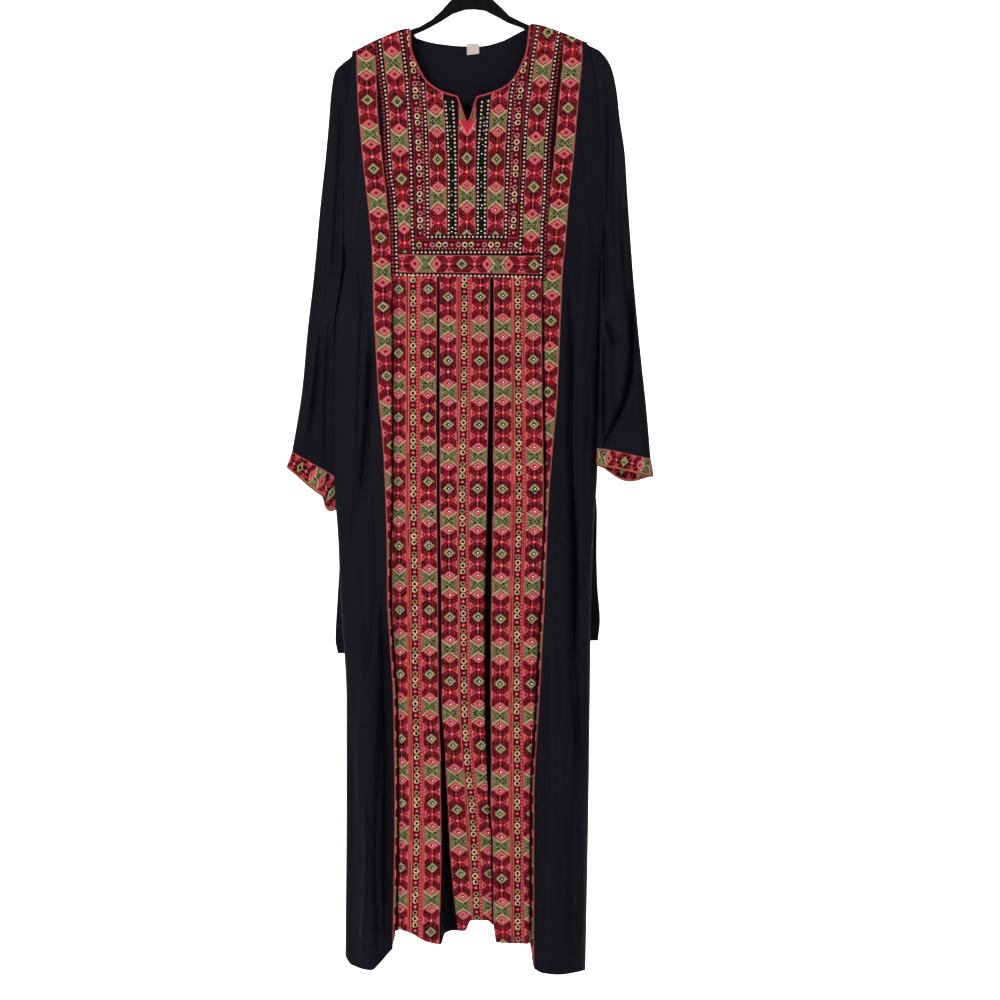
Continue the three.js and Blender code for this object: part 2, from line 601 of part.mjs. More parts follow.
function sideFrontPanel(isLeft) {
  const places = turningPlaces(8);
  const edge = (u, z) => {
    if (isLeft) return blend(body('left', z), strip('leftOut', z) - HALF_GAP, u);
    return blend(body('right', z), strip('rightOut', z) + HALF_GAP, u);
  };
  const across = isLeft ? places : [...places].reverse();
  const bottom = hem(isLeft ? HEM_SIDE_LEFT : HEM_SIDE_RIGHT);
  const grid = panel({ across, down: FULL_LENGTH, edge, top: shoulder, bottom, point: FRONT.point });
  return cloth(grid, CREPE, { face: FRONT });
}

// The back is one cut, made here as gores that meet at columns of its neckline. GORES gives the first
// and the last column of each, counted from the right.
const BACK_SIDE_PLACES = 5;
const GORES = {
  back_right: [0, 7],
  back_middle_right: [7, 10],
  back_middle_left: [10, 12],
  back_left: [12, 19],
};
function backPanel() {
  const placeOf = (point) => {
    const right = body('right', point.z);
    return (right - point.x) / (right - body('left', point.z));
  };
  const edge = (u, z) => blend(body('right', z), body('left', z), u);
  const corners = BACK_NECK.map((point) => ({ u: placeOf(point), z: point.z })).reverse();
  const sidePlaces = turningPlaces(BACK_SIDE_PLACES).slice(0, -1);
  const rightSide = sidePlaces.map((s) => onShoulder(s * corners[0].u, edge));
  const leftSide = sidePlaces.map((s) => onShoulder(1 - s * (1 - corners.at(-1).u), edge)).reverse();
  const bottom = hem(HEM_BACK);
  const grid = FULL_LENGTH.map((rowAt) => [...rightSide, ...corners, ...leftSide].map(({ u, z: start }) => {
    let z = start;
    for (let pass = 0; pass < PASSES; pass += 1) z = rowAt(start, bottom(edge(u, z)), edge(u, z));
    return BACK.point(edge(u, z), z);
  }));
  return cloth(grid, CREPE, { face: BACK });
}

// The chest panel's columns meet the neckline's own points, so that the round of the neck is true.
function chestPanel() {
  const left = (z) => strip('leftIn', z) + HALF_GAP;
  const right = (z) => strip('rightIn', z) - HALF_GAP;
  const placeOf = (point) => (point.x - left(point.z)) / (right(point.z) - left(point.z));
  const neckline = [...NECK, ...NECK_RIGHT];
  const corners = neckline.map((point) => ({ u: placeOf(point), z: point.z }));
  const edge = (u, z) => blend(left(z), right(z), u);
  const leftShoulder = [0, 0.5].map((s) => onShoulder(s * corners[0].u, edge));
  const rightShoulder = [0.5, 1].map((s) => onShoulder(blend(corners.at(-1).u, 1, s), edge));
  const tops = [...leftShoulder, ...corners, ...rightShoulder];
  const grid = [...shoulderRows, ...chestRows].map((rowAt) => tops.map(({ u, z: start }) => {
    const z = rowAt(start, null, edge(u, CHEST_FOOT));
    return FRONT.point(edge(u, z), z);
  }));
  return cloth(grid, WORKED, { face: FRONT });
}

// The skirt's columns follow the edges of its pleats. It is made in its three pleat groups, which meet in
// the valleys: PLEAT_GROUPS gives the first and the last column of each.
const PLEAT_GROUPS = { left: [0, 6], middle: [6, 12], right: [12, 17] };
function skirtPanel() {
  const sampleAt = (z) => {
    const knots = pleatKnots(z).slice(1, -1).map((knot) => knot.x);
    knots[0] += HALF_GAP;
    knots[knots.length - 1] -= HALF_GAP;
    const columns = [];
    for (let i = 0; i < knots.length - 1; i += 1) {
      columns.push(knots[i]);
      if (knots[i + 1] - knots[i] > WIDE_COLUMN) {
        for (const s of [1 / 3, 2 / 3]) columns.push(blend(knots[i], knots[i + 1], s));
      }
    }
    columns.push(knots.at(-1));
    return columns;
  };
  const count = sampleAt(-1300).length;
  const grid = panel({
    across: evenPlaces(count - 1),
    down: [(top) => top, ...skirtRows.slice(1)],
    edge: (u, z) => sampleAt(z)[Math.round(u * (count - 1))],
    top: (x) => chestFoot(x) - 2 * HALF_GAP,
    bottom: hem(HEM_SKIRT),
    point: FRONT.point,
  });
  return cloth(grid, WORKED, { face: FRONT });
}

// ---------- Sleeves and cuffs ----------

// Places along a flat loop from its outer fold (0) to its inner fold (1), close together at the folds.
function loopPlaces(length, round) {
  const end = round / length;
  const ends = ROUND_ROWS.map((share) => share * end);
  const middle = evenPlaces(4).slice(1, -1).map((s) => blend(end, 1 - end, s));
  return [...ends, ...middle, ...[...ends].reverse().map((s) => 1 - s)];
}

// One wall of a flat loop, its front or its back, from the left as seen from outside.
function loopRun(row, outerIsLeft, face) {
  const length = Math.hypot(row.ox - row.ix, row.oz - row.iz);
  const round = Math.min(SHOULDER_ROUND, length * ROUND_SHARE);
  const isFront = face.sign < 0;
  const pointAt = (s) => {
    const thick = quarterRound(s * length, round) * quarterRound((1 - s) * length, round);
    const drop = isFront ? 0 : (row.drop ?? 0) * Math.sin(Math.PI * s) ** 1.5;
    const z = blend(row.oz, row.iz, s) - drop;
    const x = row.atArmhole ? row.atArmhole(z) : blend(row.ox, row.ix, s);
    const fold = isFront && !outerIsLeft ? sleeveFold(x, z) : 0;
    return new THREE.Vector3(x, row.y + face.sign * Math.max(row.half * thick - fold, HALF_GAP), z);
  };
  const places = loopPlaces(length, round);
  if (outerIsLeft !== isFront) places.reverse();
  return places.map(pointAt);
}

function loopCloth(rows, outerIsLeft, face, thickness) {
  const grid = rows.map((row) => loopRun(row, outerIsLeft, face));
  return cloth(grid, thickness, { face, normals: gridNormals(grid), middles: rows.map((row) => row.y) });
}

function sleeveFold(x, z) {
  if (z > SLEEVE_FOLD[0].z || z < SLEEVE_FOLD.at(-1).z) return 0;
  const middle = read(SLEEVE_FOLD, 'z', 'x', z);
  const depth = read(SLEEVE_FOLD, 'z', 'depth', z);
  return depth * Math.exp(-(((x - middle) / SLEEVE_FOLD_HALF) ** 2));
}

// A sleeve bends as it hangs, so each of its two walls is cut level at the elbow and the forearm. These
// are the heights of the cuts, from above the shoulder to below the cuff.
const SLEEVE_CUTS = { left: [0, -430, -610, -1000], right: [0, -420, -600, -1000] };
const SLEEVE_LENGTHS = ['upper', 'elbow', 'lower'];

// The slice of a closed shape between two heights.
function slice(geometry, high, low) {
  const bare = geometry.clone();
  bare.deleteAttribute('normal');
  const merged = mergeVertices(bare);
  const solid = new wasm.Manifold(new wasm.Mesh({
    numProp: 3,
    vertProperties: Float32Array.from(merged.attributes.position.array),
    triVerts: Uint32Array.from(merged.index.array),
  }));
  const kept = solid.trimByPlane([0, 0, 1], low).trimByPlane([0, 0, -1], -high).getMesh();
  const sliced = new THREE.BufferGeometry();
  sliced.setAttribute('position', new THREE.Float32BufferAttribute(kept.vertProperties, 3));
  sliced.setIndex([...kept.triVerts]);
  sliced.computeVertexNormals();
  return toCreasedNormals(sliced, CREASE_ANGLE);
}

// The first section stands off the armhole, and the last stops short of the cuff's seam.
function sleeve(side, face) {
  const outerIsLeft = side === 'left';
  const outward = outerIsLeft ? -ARMHOLE_GAP : ARMHOLE_GAP;
  const rows = (outerIsLeft ? SLEEVE_LEFT : SLEEVE_RIGHT).map((row) => ({ ...row }));
  rows[0].atArmhole = (z) => body(side, z) + outward;
  rows[rows.length - 1].oz += HALF_GAP;
  rows[rows.length - 1].iz += HALF_GAP;
  return loopCloth(rows, outerIsLeft, face, CREPE);
}

function cuff(side, face) {
  const outerIsLeft = side === 'left';
  return loopCloth(outerIsLeft ? CUFF_LEFT : CUFF_RIGHT, outerIsLeft, face, WORKED);
}

// ---------- Trims ----------

// A flat band along the front neckline and round the slit, just outside the chest panel's edge.
function neckBinding() {
  const line = [...NECK, ...NECK_RIGHT];
  const tip = NECK.at(-1);
  const inner = line.map((point, i) => {
    const before = line[Math.max(i - 1, 0)];
    const after = line[Math.min(i + 1, line.length - 1)];
    const tangent = new THREE.Vector2(after.x - before.x, after.z - before.z).normalize();
    const x = point.x - tangent.y * BINDING.width;
    const z = point.z + tangent.x * BINDING.width;
    if (point === tip) return { x: tip.x + BINDING.tip, z: tip.z + BINDING.width * BINDING.tipRise };
    const onLeft = i < NECK.length;
    return { x: onLeft ? Math.min(x, tip.x + BINDING.left) : Math.max(x, tip.x + BINDING.right), z };
  });
  const rim = (from, to, s) => {
    const x = blend(from.x, to.x, s);
    const z = blend(from.z, to.z, s);
    return new THREE.Vector3(x, -wallDepth('front', x, z) - BINDING.thickness / 2 + WORKED / 2, z);
  };
  const gapShare = (2 * HALF_GAP + 0.2) / BINDING.width;
  const outerRow = line.map((point, i) => rim(point, inner[i], gapShare));
  const innerRow = line.map((point, i) => rim(point, inner[i], 1));
  return cloth([innerRow, outerRow], BINDING.thickness);
}

function neckLabel() {
  const xs = [LABEL.left, (LABEL.left + LABEL.right) / 2, LABEL.right];
  const grid = [0, 0.5, 1].map((v) => xs.map((x, i) => {
    const bottom = LABEL.bottom + (LABEL.slant * i) / (xs.length - 1);
    const z = blend(LABEL.top, bottom, v);
    return new THREE.Vector3(x, wallDepth('back', x, z) - CREPE - LABEL.thickness - 2 * HALF_GAP, z);
  }));
  return cloth(grid, LABEL.thickness);
}

function tie(table) {
  const grid = table.map((row) => [-0.5, 0, 0.5].map((s) => new THREE.Vector3(
    row.x + s * TIE.width,
    row.y,
    row.z,
  )));
  return cloth(grid, TIE.thickness);
}

// ---------- Hanger ----------

function hangerBody() {
  const lower = (arm) => arm.map((point) => ({ x: point.x, z: point.z - HANGER.armDepth }));
  const leftUp = [...HANGER_LEFT_ARM].reverse();
  const leftTip = leftUp[0];
  const rightTip = HANGER_RIGHT_ARM.at(-1);
  const outline = [
    { x: leftTip.x - HANGER.leftTip, z: leftTip.z - HANGER.tipDrop },
    ...leftUp,
    ...HANGER_CROWN,
    ...HANGER_RIGHT_ARM,
    { x: rightTip.x + HANGER.rightTip, z: rightTip.z - HANGER.tipDrop },
    ...lower([...HANGER_RIGHT_ARM].reverse()),
    ...HANGER_ARCH,
    ...lower(HANGER_LEFT_ARM),
  ];
  const inset = HANGER.bevel;
  const shape = new THREE.Shape(outline.map((point) => new THREE.Vector2(point.x, point.z)));
  const geometry = new THREE.ExtrudeGeometry(shape, {
    depth: HANGER.thickness - 2 * inset,
    bevelEnabled: true,
    bevelThickness: inset,
    bevelSize: inset,
    bevelOffset: -inset,
    bevelSegments: 1,
  });
  geometry.rotateX(Math.PI / 2);
  geometry.translate(0, HANGER.thickness / 2 - inset, 0);
  return geometry;
}

function hangerHook() {
  const radius = HOOK.inner + HOOK.wire / 2;
  const onRing = (degrees) => {
    const angle = (degrees * Math.PI) / 180;
    return new THREE.Vector3(radius * Math.cos(angle), 0, -HOOK.inner + radius * Math.sin(angle));
  };
  const points = [];
  for (let degrees = HOOK.openEnd; degrees >= HOOK.turnOut; degrees -= HOOK.turn) {
    points.push(onRing(degrees));
  }
  points.push(new THREE.Vector3(0, 0, HOOK.shankTop));
  points.push(new THREE.Vector3(0, 0, HOOK.shankFoot));
  const path = new THREE.CatmullRomCurve3(points, false, 'centripetal');
  const circle = new THREE.Shape();
  circle.absarc(0, 0, HOOK.wire / 2, 0, Math.PI * 2, false);
  return new THREE.ExtrudeGeometry(circle, {
    extrudePath: path,
    steps: HOOK.steps,
    curveSegments: 5,
    bevelEnabled: false,
  });
}

// ---------- Materials and the whole ----------

const finish = (look) => () => new THREE.MeshStandardMaterial({ ...look, side: THREE.DoubleSide });
const crepe = finish({ color: 0x1b1b20, roughness: 0.8 });
const crossStitch = finish({ color: 0x9c3038, roughness: 0.75 });
const redBraid = finish({ color: 0xc23a48, roughness: 0.6 });
const creamTape = finish({ color: 0xe9ddd2, roughness: 0.7 });
const velvet = finish({ color: 0x121214, roughness: 0.95 });
const chrome = finish({ color: 0xc9ccd1, roughness: 0.25, metalness: 1 });

const dress = new THREE.Group();
function add(name, geometry, material) {
  const mesh = new THREE.Mesh(geometry, material());
  mesh.name = name;
  dress.add(mesh);
}
// Adds a cloth in lengths, whole across or from one column to another.
function addLengths(name, made, lengths, material, columns) {
  for (const [length, rows] of Object.entries(lengths)) {
    add(`${name}_${length}`, wall(cut(made, rows, columns)), material);
  }
}

add('chest_panel', wall(chestPanel()), crossStitch);
const leftStrip = stripPanel('leftOut', 'leftIn', HEM_STRIP_LEFT, true);
const rightStrip = stripPanel('rightOut', 'rightIn', HEM_STRIP_RIGHT, false);
addLengths('front_strip_left', leftStrip, STRIP_LENGTHS, crossStitch);
addLengths('front_strip_right', rightStrip, STRIP_LENGTHS, crossStitch);
addLengths('side_front_left', sideFrontPanel(true), LENGTHS, crepe);
addLengths('side_front_right', sideFrontPanel(false), LENGTHS, crepe);
const skirt = skirtPanel();
for (const [group, columns] of Object.entries(PLEAT_GROUPS)) {
  addLengths(`front_skirt_${group}`, skirt, SKIRT_LENGTHS, crossStitch, columns);
}
const back = backPanel();
for (const [gore, columns] of Object.entries(GORES)) addLengths(gore, back, LENGTHS, crepe, columns);
for (const side of ['left', 'right']) {
  for (const [name, face] of [['front', FRONT], ['back', BACK]]) {
    const sleeveWall = wall(sleeve(side, face));
    const heights = SLEEVE_CUTS[side];
    SLEEVE_LENGTHS.forEach((length, i) => {
      const part = slice(sleeveWall, heights[i] - HALF_GAP, heights[i + 1] + HALF_GAP);
      add(`sleeve_${side}_${name}_${length}`, part, crepe);
    });
    add(`cuff_${side}_${name}`, wall(cuff(side, face)), crossStitch);
  }
}
add('neck_binding', wall(neckBinding()), redBraid);
add('neck_label', wall(neckLabel()), creamTape);
add('tie_left', wall(tie(TIE_LEFT)), crepe);
add('tie_right', wall(tie(TIE_RIGHT)), crepe);
add('hanger_body', hangerBody(), velvet);
add('hanger_hook', hangerHook(), chrome);

export default dress;
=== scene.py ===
# A black thobe dress with a cross-stitched front, hanging on a slim velvet hanger, for Blender 4.5.
#
# The CAD solids give the form. Each cloth piece is a fine thin shell on its solid's own form, made
# from the same tables in millimetres, with its creases placed one by one. The cross-stitch is charted
# below as a small repeat, one face of the mesh a stitch.
import itertools
import math

import bpy
import numpy as np
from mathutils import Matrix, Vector


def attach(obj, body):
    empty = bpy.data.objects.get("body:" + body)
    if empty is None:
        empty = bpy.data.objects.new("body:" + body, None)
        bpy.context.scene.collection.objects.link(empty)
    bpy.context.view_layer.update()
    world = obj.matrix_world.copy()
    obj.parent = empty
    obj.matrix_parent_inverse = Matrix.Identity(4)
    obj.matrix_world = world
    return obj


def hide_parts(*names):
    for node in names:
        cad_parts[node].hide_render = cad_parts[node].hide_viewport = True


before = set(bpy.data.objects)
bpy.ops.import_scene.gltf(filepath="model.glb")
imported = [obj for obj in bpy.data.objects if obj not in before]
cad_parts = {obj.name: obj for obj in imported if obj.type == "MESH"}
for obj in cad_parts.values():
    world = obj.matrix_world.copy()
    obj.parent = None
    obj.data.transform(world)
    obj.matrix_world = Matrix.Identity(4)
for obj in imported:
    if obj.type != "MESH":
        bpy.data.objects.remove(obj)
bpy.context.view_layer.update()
chance = np.random.default_rng(59)

# ---------- Sizes, in millimetres ----------

MM = 0.001
CREPE = 1.0
WORKED = 1.3
HALF_GAP = 0.03
SHOULDER_ROUND = 9
LENS_POWER = 2.6
TIE_WIDTH, TIE_THICKNESS, TIE_SEWN = 16, 1.0, 45
CHEST_FOOT = -521.5
CHEST_FOOT_SLOPE = -0.012
PEARL = {"radius": 1.8, "pitch": 6.4}

# Places on the front are also given as u and v, in units of 1.56 mm to the right and down, from a
# point up and left of the hanger. A unit is one pixel of the photo.
UNIT = 1.56
U_ZERO = 472
V_ZERO = -90


def table(text):
    """Named columns of numbers: the first line names them, and each other line is a row."""
    names, *rows = [line.split() for line in text.strip().splitlines()]
    return dict(zip(names, np.array(rows, float).T.copy()))


# ---------- The CAD's tables ----------

SHOULDER = table("""
x z
-183 -169
-143 -149
-100 -134
93 -127
140 -140
176 -155
""")
BODY = table("""
z left right open round front back
-127 -181 171 8 1 9 9
-200 -190 189 9 1 11 10
-300 -199 200 10 1 16 13
-400 -199 202 10 1 21 17
-460 -199 203 9 1.2 24 19
-500 -200 203 1.2 1.6 26 21
-530 -203 202 0.4 2 28 22
-600 -213 201 0.4 2.3 32 25
-714 -216 200 0.4 2.3 36 28
-790 -216 197 0.4 2.3 38 30
-839 -215 195 0.4 2.3 40 31
-930 -209 189 0.4 2.3 43 33
-1026 -205 186 0.4 2.3 46 35
-1182 -196 184 0.4 2.3 50 37
-1338 -196 182 0.4 2.3 53 39
-1610 -198 177 0.4 2.3 56 42
""")
STRIPS = table("""
z leftOut leftIn rightIn rightOut
-127 -177 -146 137 171
-171 -180 -145 136 172
-246 -178 -139 126 166
-340 -170 -132 120 158
-402 -163 -125 117 151
-464 -157 -123 113 146
-522 -154 -122.5 110 141
-558 -153.5 -123 110 139.5
-636 -149.5 -122.5 111 136
-714 -145 -122.5 111.5 132.5
-776 -139 -122.5 113 127
-870 -134 -122.5 113.5 119.5
-948 -132 -125.5 110 116
-1026 -131.5 -125 107 113
-1104 -127 -120.5 103 109
-1182 -122 -115.5 99 105
-1338 -120 -113.5 91 97
-1610 -124 -117 90 96.6
""")
PLEATS = table("""
z slitAt slitHalf slit tuckAt tuckHalf tuck side middle
-522 -51.6 1.4 3 31 1.4 3 3 0
-558 -51.5 1.5 8 31 1.7 8 8 0
-714 -51.8 2.1 12 30 2.5 12 12 0
-870 -52 2.4 13 27 4 14 12 1
-1026 -49.6 2.5 14 24.3 6.2 16 14 3
-1182 -49 2.3 16 23.9 4.8 18 16 6
-1276 -43.7 2.8 18 25.6 3.4 19 17 8
-1338 -42.8 2.8 20 27.5 1.5 19 18 9
-1416 -39.8 5.1 23 31.7 1.4 19 18 10
-1494 -35 11.3 25 32 1.4 19 18 11
-1610 -26 20 26 35 1.4 19 18 12
""")
FRONT_FOLDS = table("""
x0 z0 x1 z1 half depth fade
-152 -600 -174 -930 7 8 120
-172 -560 -190 -960 12 -4 160
-136 -930 -131 -1700 12 17 180
-168 -1050 -160 -1700 14 -6 200
-188 -1150 -182 -1700 8 4 200
155 -560 166 -1380 8 9 140
134 -780 128 -1700 14 -5 220
188 -620 172 -1300 10 -4 200
108 -900 97 -1700 8 7 200
""")
BACK_FOLDS = table("""
x0 z0 x1 z1 half depth fade
-110 -420 -140 -1700 18 9 260
-60 -600 -70 -1700 22 -7 300
8 -340 -8 -1700 18 10 320
62 -560 74 -1700 20 -8 260
118 -400 132 -1700 16 9 240
""")
NECK = table("""
x z
-96.5 -136
-95 -168
-86 -191
-73 -215
-55 -230
-37 -238
-23 -241.5
-16 -262
-8 -284
""")
NECK_RIGHT = table("""
x z
-2 -275
4 -254
8 -242.5
28 -237
51 -227
67 -212
78 -191
86 -168
90.5 -129
""")
BACK_NECK = table("""
x z
-97.5 -134.2
-96 -137.5
-89 -147
-50 -157.5
-9 -161
13 -161
44 -154
76 -138
89 -131
91 -127.3
""")
HEM_SIDE_LEFT = table("""
x z
-198 -1580
-187 -1593
-156 -1599
-142 -1588
-124 -1566
""")
HEM_STRIP_LEFT = table("""
x z
-124 -1562
-117 -1534
""")
HEM_SKIRT = table("""
x z
-118 -1533
-97 -1539
-70 -1553
-48 -1557
-40 -1539
-10 -1537
-1 -1521
23 -1521
33 -1529
38 -1554
90 -1557
""")
HEM_STRIP_RIGHT = table("""
x z
90 -1558
96 -1593.6
""")
HEM_SIDE_RIGHT = table("""
x z
96 -1596
110 -1603
140 -1606
177 -1602
""")
HEM_BACK = table("""
x z
-198 -1572
-120 -1546
-40 -1526
20 -1515
90 -1546
178 -1588
""")
SLEEVE_LEFT = table("""
ox oz ix iz y half
-184 -170 -200.5 -499 0 9.5
-200 -187 -201.6 -506 0 10
-214 -203 -202.6 -515 0 10
-219.5 -232 -204.2 -532 1 10
-224 -285 -208.1 -558 3 10
-228.5 -333 -212.6 -588 6 10
-237 -408 -215.6 -630 12 10
-248 -522 -211 -690 18 10
-257.5 -603 -207 -740 21 11
-267 -702 -205 -790 24 12
-282 -793 -203 -838 26 13
""")
SLEEVE_RIGHT = table("""
ox oz ix iz y half
176.5 -154 204 -476 0 9.5
198 -168 206 -492 0 10
216.5 -193 203.6 -514 0 10
225.5 -230 202.8 -545 -2 10
231 -279 202.3 -582 -6 10
238.5 -333 201.5 -622 -11 10
242 -393 199.5 -660 -15 10
249.5 -500 198 -702 -18 11
256 -577 197.5 -738 -19 12
264 -658 197.5 -765 -20 13
271.5 -728 198 -780 -20 14
278 -805 200 -788 -20 15
""")
CUFF_LEFT = table("""
ox oz ix iz y half drop
-282.2 -794 -203 -839 26 13 0
-287 -807 -206 -861 26 15 2
-291 -819 -209 -882 26 17 4
""")
CUFF_RIGHT = table("""
ox oz ix iz y half drop
278.1 -806 199.8 -789 -20 15 0
281 -820 198 -802 -21 17 9
282.5 -834 196 -815.5 -22 19 16
""")
SLEEVE_FOLD = table("""
z x depth
-480 247 0
-550 249 5
-658 248 8
-712 238 8
-772 212 5
-800 204 0
""")
TIE_LEFT = table("""
x z y
-197 -905 21
-199 -960 21
-203 -1026 20
-206 -1088 19
-202 -1110 19
""")
TIE_RIGHT = table("""
x z y
188 -850 16
187 -948 17
188 -1000 16
192 -1058 15
189 -1090 15
""")

# ---------- Creases of the plain cloth ----------

CREASE_STRENGTH = 1.6

# As the folds, with `wander` for how far a crease strays from its line. The solid's folds are broad,
# and these are the finer ones on top.
FRONT_CREASES = table("""
x0 z0 x1 z1 half depth fade wander
-172 -250 -186 -470 5 2.4 60 2
-154 -590 -175 -900 3.5 5.0 80 1
-139 -990 -131 -1590 3 4.0 120 1.5
154 -570 155 -1230 3 4.5 90 1.5
-186 -300 -176 -640 6 -2.2 90 3
-160 -470 -181 -800 4 3.3 90 3
-166 -690 -196 -1010 6 2.7 100 4
-146 -820 -158 -1180 5 3.0 120 3
-178 -900 -172 -1420 6 -3.3 140 4
-143 -1120 -148 -1640 5 3.6 130 3
-190 -1180 -184 -1650 5 2.7 120 3
-166 -1260 -170 -1640 4 -2.4 110 3
166 -250 188 -480 5 2.4 70 2
184 -330 170 -700 6 -2.2 110 3
150 -500 160 -1180 4 3.6 110 3
178 -640 184 -1080 6 2.7 130 4
146 -860 142 -1420 6 -3.0 150 3
162 -1080 154 -1640 5 3.3 140 4
118 -1040 112 -1640 4 2.7 130 2
172 -1250 168 -1650 5 -2.7 110 3
""")
BACK_CREASES = table("""
x0 z0 x1 z1 half depth fade wander
-150 -300 -170 -760 6 2.4 110 4
-84 -250 -98 -700 7 2.2 120 5
-30 -210 -36 -560 7 -1.8 110 4
36 -230 44 -640 7 2.0 120 5
96 -260 110 -820 6 -2.0 130 4
156 -300 164 -800 6 2.4 110 4
-180 -760 -170 -1500 7 -2.4 160 5
-112 -720 -120 -1600 6 2.6 180 5
-40 -700 -44 -1600 7 2.4 180 6
26 -660 38 -1600 6 -2.2 180 5
92 -760 98 -1600 7 2.6 180 5
150 -820 158 -1600 6 -2.4 180 5
""")
# Across the embroidered skirt: small level creases from x0 to x1 at z.
SKIRT_CREASES = table("""
x0 x1 z half depth
52 112 -856 2.2 1.8
50 92 -1252 2.2 1.6
-108 -60 -700 3.0 0.9
-44 14 -1002 2.8 0.9
-110 -62 -1188 3.0 1.1
-30 20 -1330 2.8 1.0
40 84 -1010 2.6 0.9
""")
# The sleeves' long soft folds, front and back, as lines down the sleeve.
SLEEVE_LEFT_CREASES = table("""
x0 z0 x1 z1 half depth fade wander
-203 -215 -214 -560 5 2.5 80 2
-214 -300 -236 -760 6 -2.5 120 3
-222 -480 -252 -800 4 3.1 90 2
-230 -620 -224 -830 5 2.5 70 2
-240 -600 -268 -810 4 -2.0 70 2
""")
SLEEVE_RIGHT_CREASES = table("""
x0 z0 x1 z1 half depth fade wander
212 -200 216 -480 5 2.5 80 2
206 -420 209 -600 3 4.0 50 1
207 -590 206 -790 3 4.0 40 1
224 -300 232 -640 6 -2.5 120 3
232 -420 258 -700 4 2.8 90 2
220 -560 224 -760 5 2.5 70 2
252 -640 266 -790 4 -2.2 60 2
205 -583 229 -645 5 5.6 24 1
""")

# ---------- Reading the tables ----------


def read(rows, key, column, value):
    """A smooth curve through one column, read at `value` of the key column, as the CAD does it."""
    k, c = rows[key], rows[column]
    if k[0] > k[-1]:
        k, c = k[::-1], c[::-1]
    chord = np.diff(c) / np.diff(k)
    slope = np.zeros(len(k))
    slope[0], slope[-1] = chord[0], chord[-1]
    before, after = chord[:-1], chord[1:]
    both = before * after > 0
    total = np.where(both, before + after, 1)
    slope[1:-1] = np.where(both, 2 * before * after / total, 0)
    value = np.asarray(value, float)
    i = np.clip(np.searchsorted(k, value) - 1, 0, len(k) - 2)
    span = k[i + 1] - k[i]
    s = np.clip((value - k[i]) / span, 0, 1)
    s2, s3 = s * s, s * s * s
    start = (2 * s3 - 3 * s2 + 1) * c[i] + (s3 - 2 * s2 + s) * span * slope[i]
    return start + (3 * s2 - 2 * s3) * c[i + 1] + (s3 - s2) * span * slope[i + 1]


def blend(a, b, s):
    return a + (b - a) * s


def smooth(s):
    s = np.clip(s, 0, 1)
    return s * s * (3 - 2 * s)


def quarter_round(distance, reach):
    return np.sqrt(np.maximum(1 - (1 - np.clip(distance / reach, 0, 1)) ** 2, 0))


def body(column, z):
    return read(BODY, "z", column, z)


def strip(column, z):
    return read(STRIPS, "z", column, z)


def pleat(column, z):
    return read(PLEATS, "z", column, z)


def shoulder(x):
    return read(SHOULDER, "x", "z", x)


def chest_foot(x):
    return CHEST_FOOT + x * CHEST_FOOT_SLOPE


def rows_of(rows):
    return [dict(zip(rows, values)) for values in zip(*rows.values())]


# ---------- The front and the back as smooth surfaces ----------


def fold_depth(folds, x, z):
    depth = np.zeros_like(x)
    for i, fold in enumerate(rows_of(folds)):
        along = (fold["z0"] - z) / (fold["z0"] - fold["z1"])
        middle = blend(fold["x0"], fold["x1"], along)
        swing = 1.0
        if "wander" in fold:
            middle = middle + fold["wander"] * np.sin(z / 61 + 1.7 * i)
            swing = 1 + 0.35 * np.sin(z / 83 + 2.3 * i)
        fade_in = smooth((fold["z0"] - z) / fold["fade"])
        fade_out = smooth((z - fold["z1"]) / fold["fade"])
        depth += fold["depth"] * swing * fade_in * fade_out * np.exp(-(((x - middle) / fold["half"]) ** 2))
    return depth


def pleat_depth(x, z):
    row = {column: pleat(column, z) for column in PLEATS if column != "z"}
    left, right = strip("leftIn", z), strip("rightIn", z)
    edge = np.minimum(3, (left - strip("leftOut", z)) * 0.45)
    right_edge = np.minimum(3, (strip("rightOut", z) - right) * 0.45)
    slit, slit_half, tuck, tuck_half = row["slitAt"], row["slitHalf"], row["tuckAt"], row["tuckHalf"]
    nothing = np.zeros_like(x)
    knots = [
        (left - edge, row["side"] * 0.15),
        (left, row["side"]),
        (left + 2.6, nothing),
        (slit - slit_half, nothing),
        (slit - slit_half * 0.5, row["slit"]),
        (slit + slit_half * 0.5, row["slit"]),
        (slit + slit_half, row["middle"]),
        (tuck - tuck_half, row["middle"]),
        (tuck - tuck_half * 0.5, row["tuck"]),
        (tuck + tuck_half * 0.5, row["tuck"]),
        (tuck + tuck_half, nothing),
        (right - 2.4, nothing),
        (right, row["side"]),
        (right + right_edge, row["side"] * 0.15),
    ]
    depth = knots[0][1].copy()
    for (xa, da), (xb, db) in zip(knots, knots[1:]):
        share = np.clip((x - xa) / (xb - xa), 0, 1)
        depth = np.where(x > xa, blend(da, db, share), depth)
    return np.where(z > -500, 0, smooth((-500 - z) / 30) * depth)


def level_creases(x, z):
    depth = np.zeros_like(x)
    for crease in rows_of(SKIRT_CREASES):
        span = smooth((x - crease["x0"]) / 12) * smooth((crease["x1"] - x) / 12)
        across = (z - crease["z"] - 2 * np.sin(x / 17)) / crease["half"]
        depth += crease["depth"] * span * np.exp(-(across**2))
    return depth


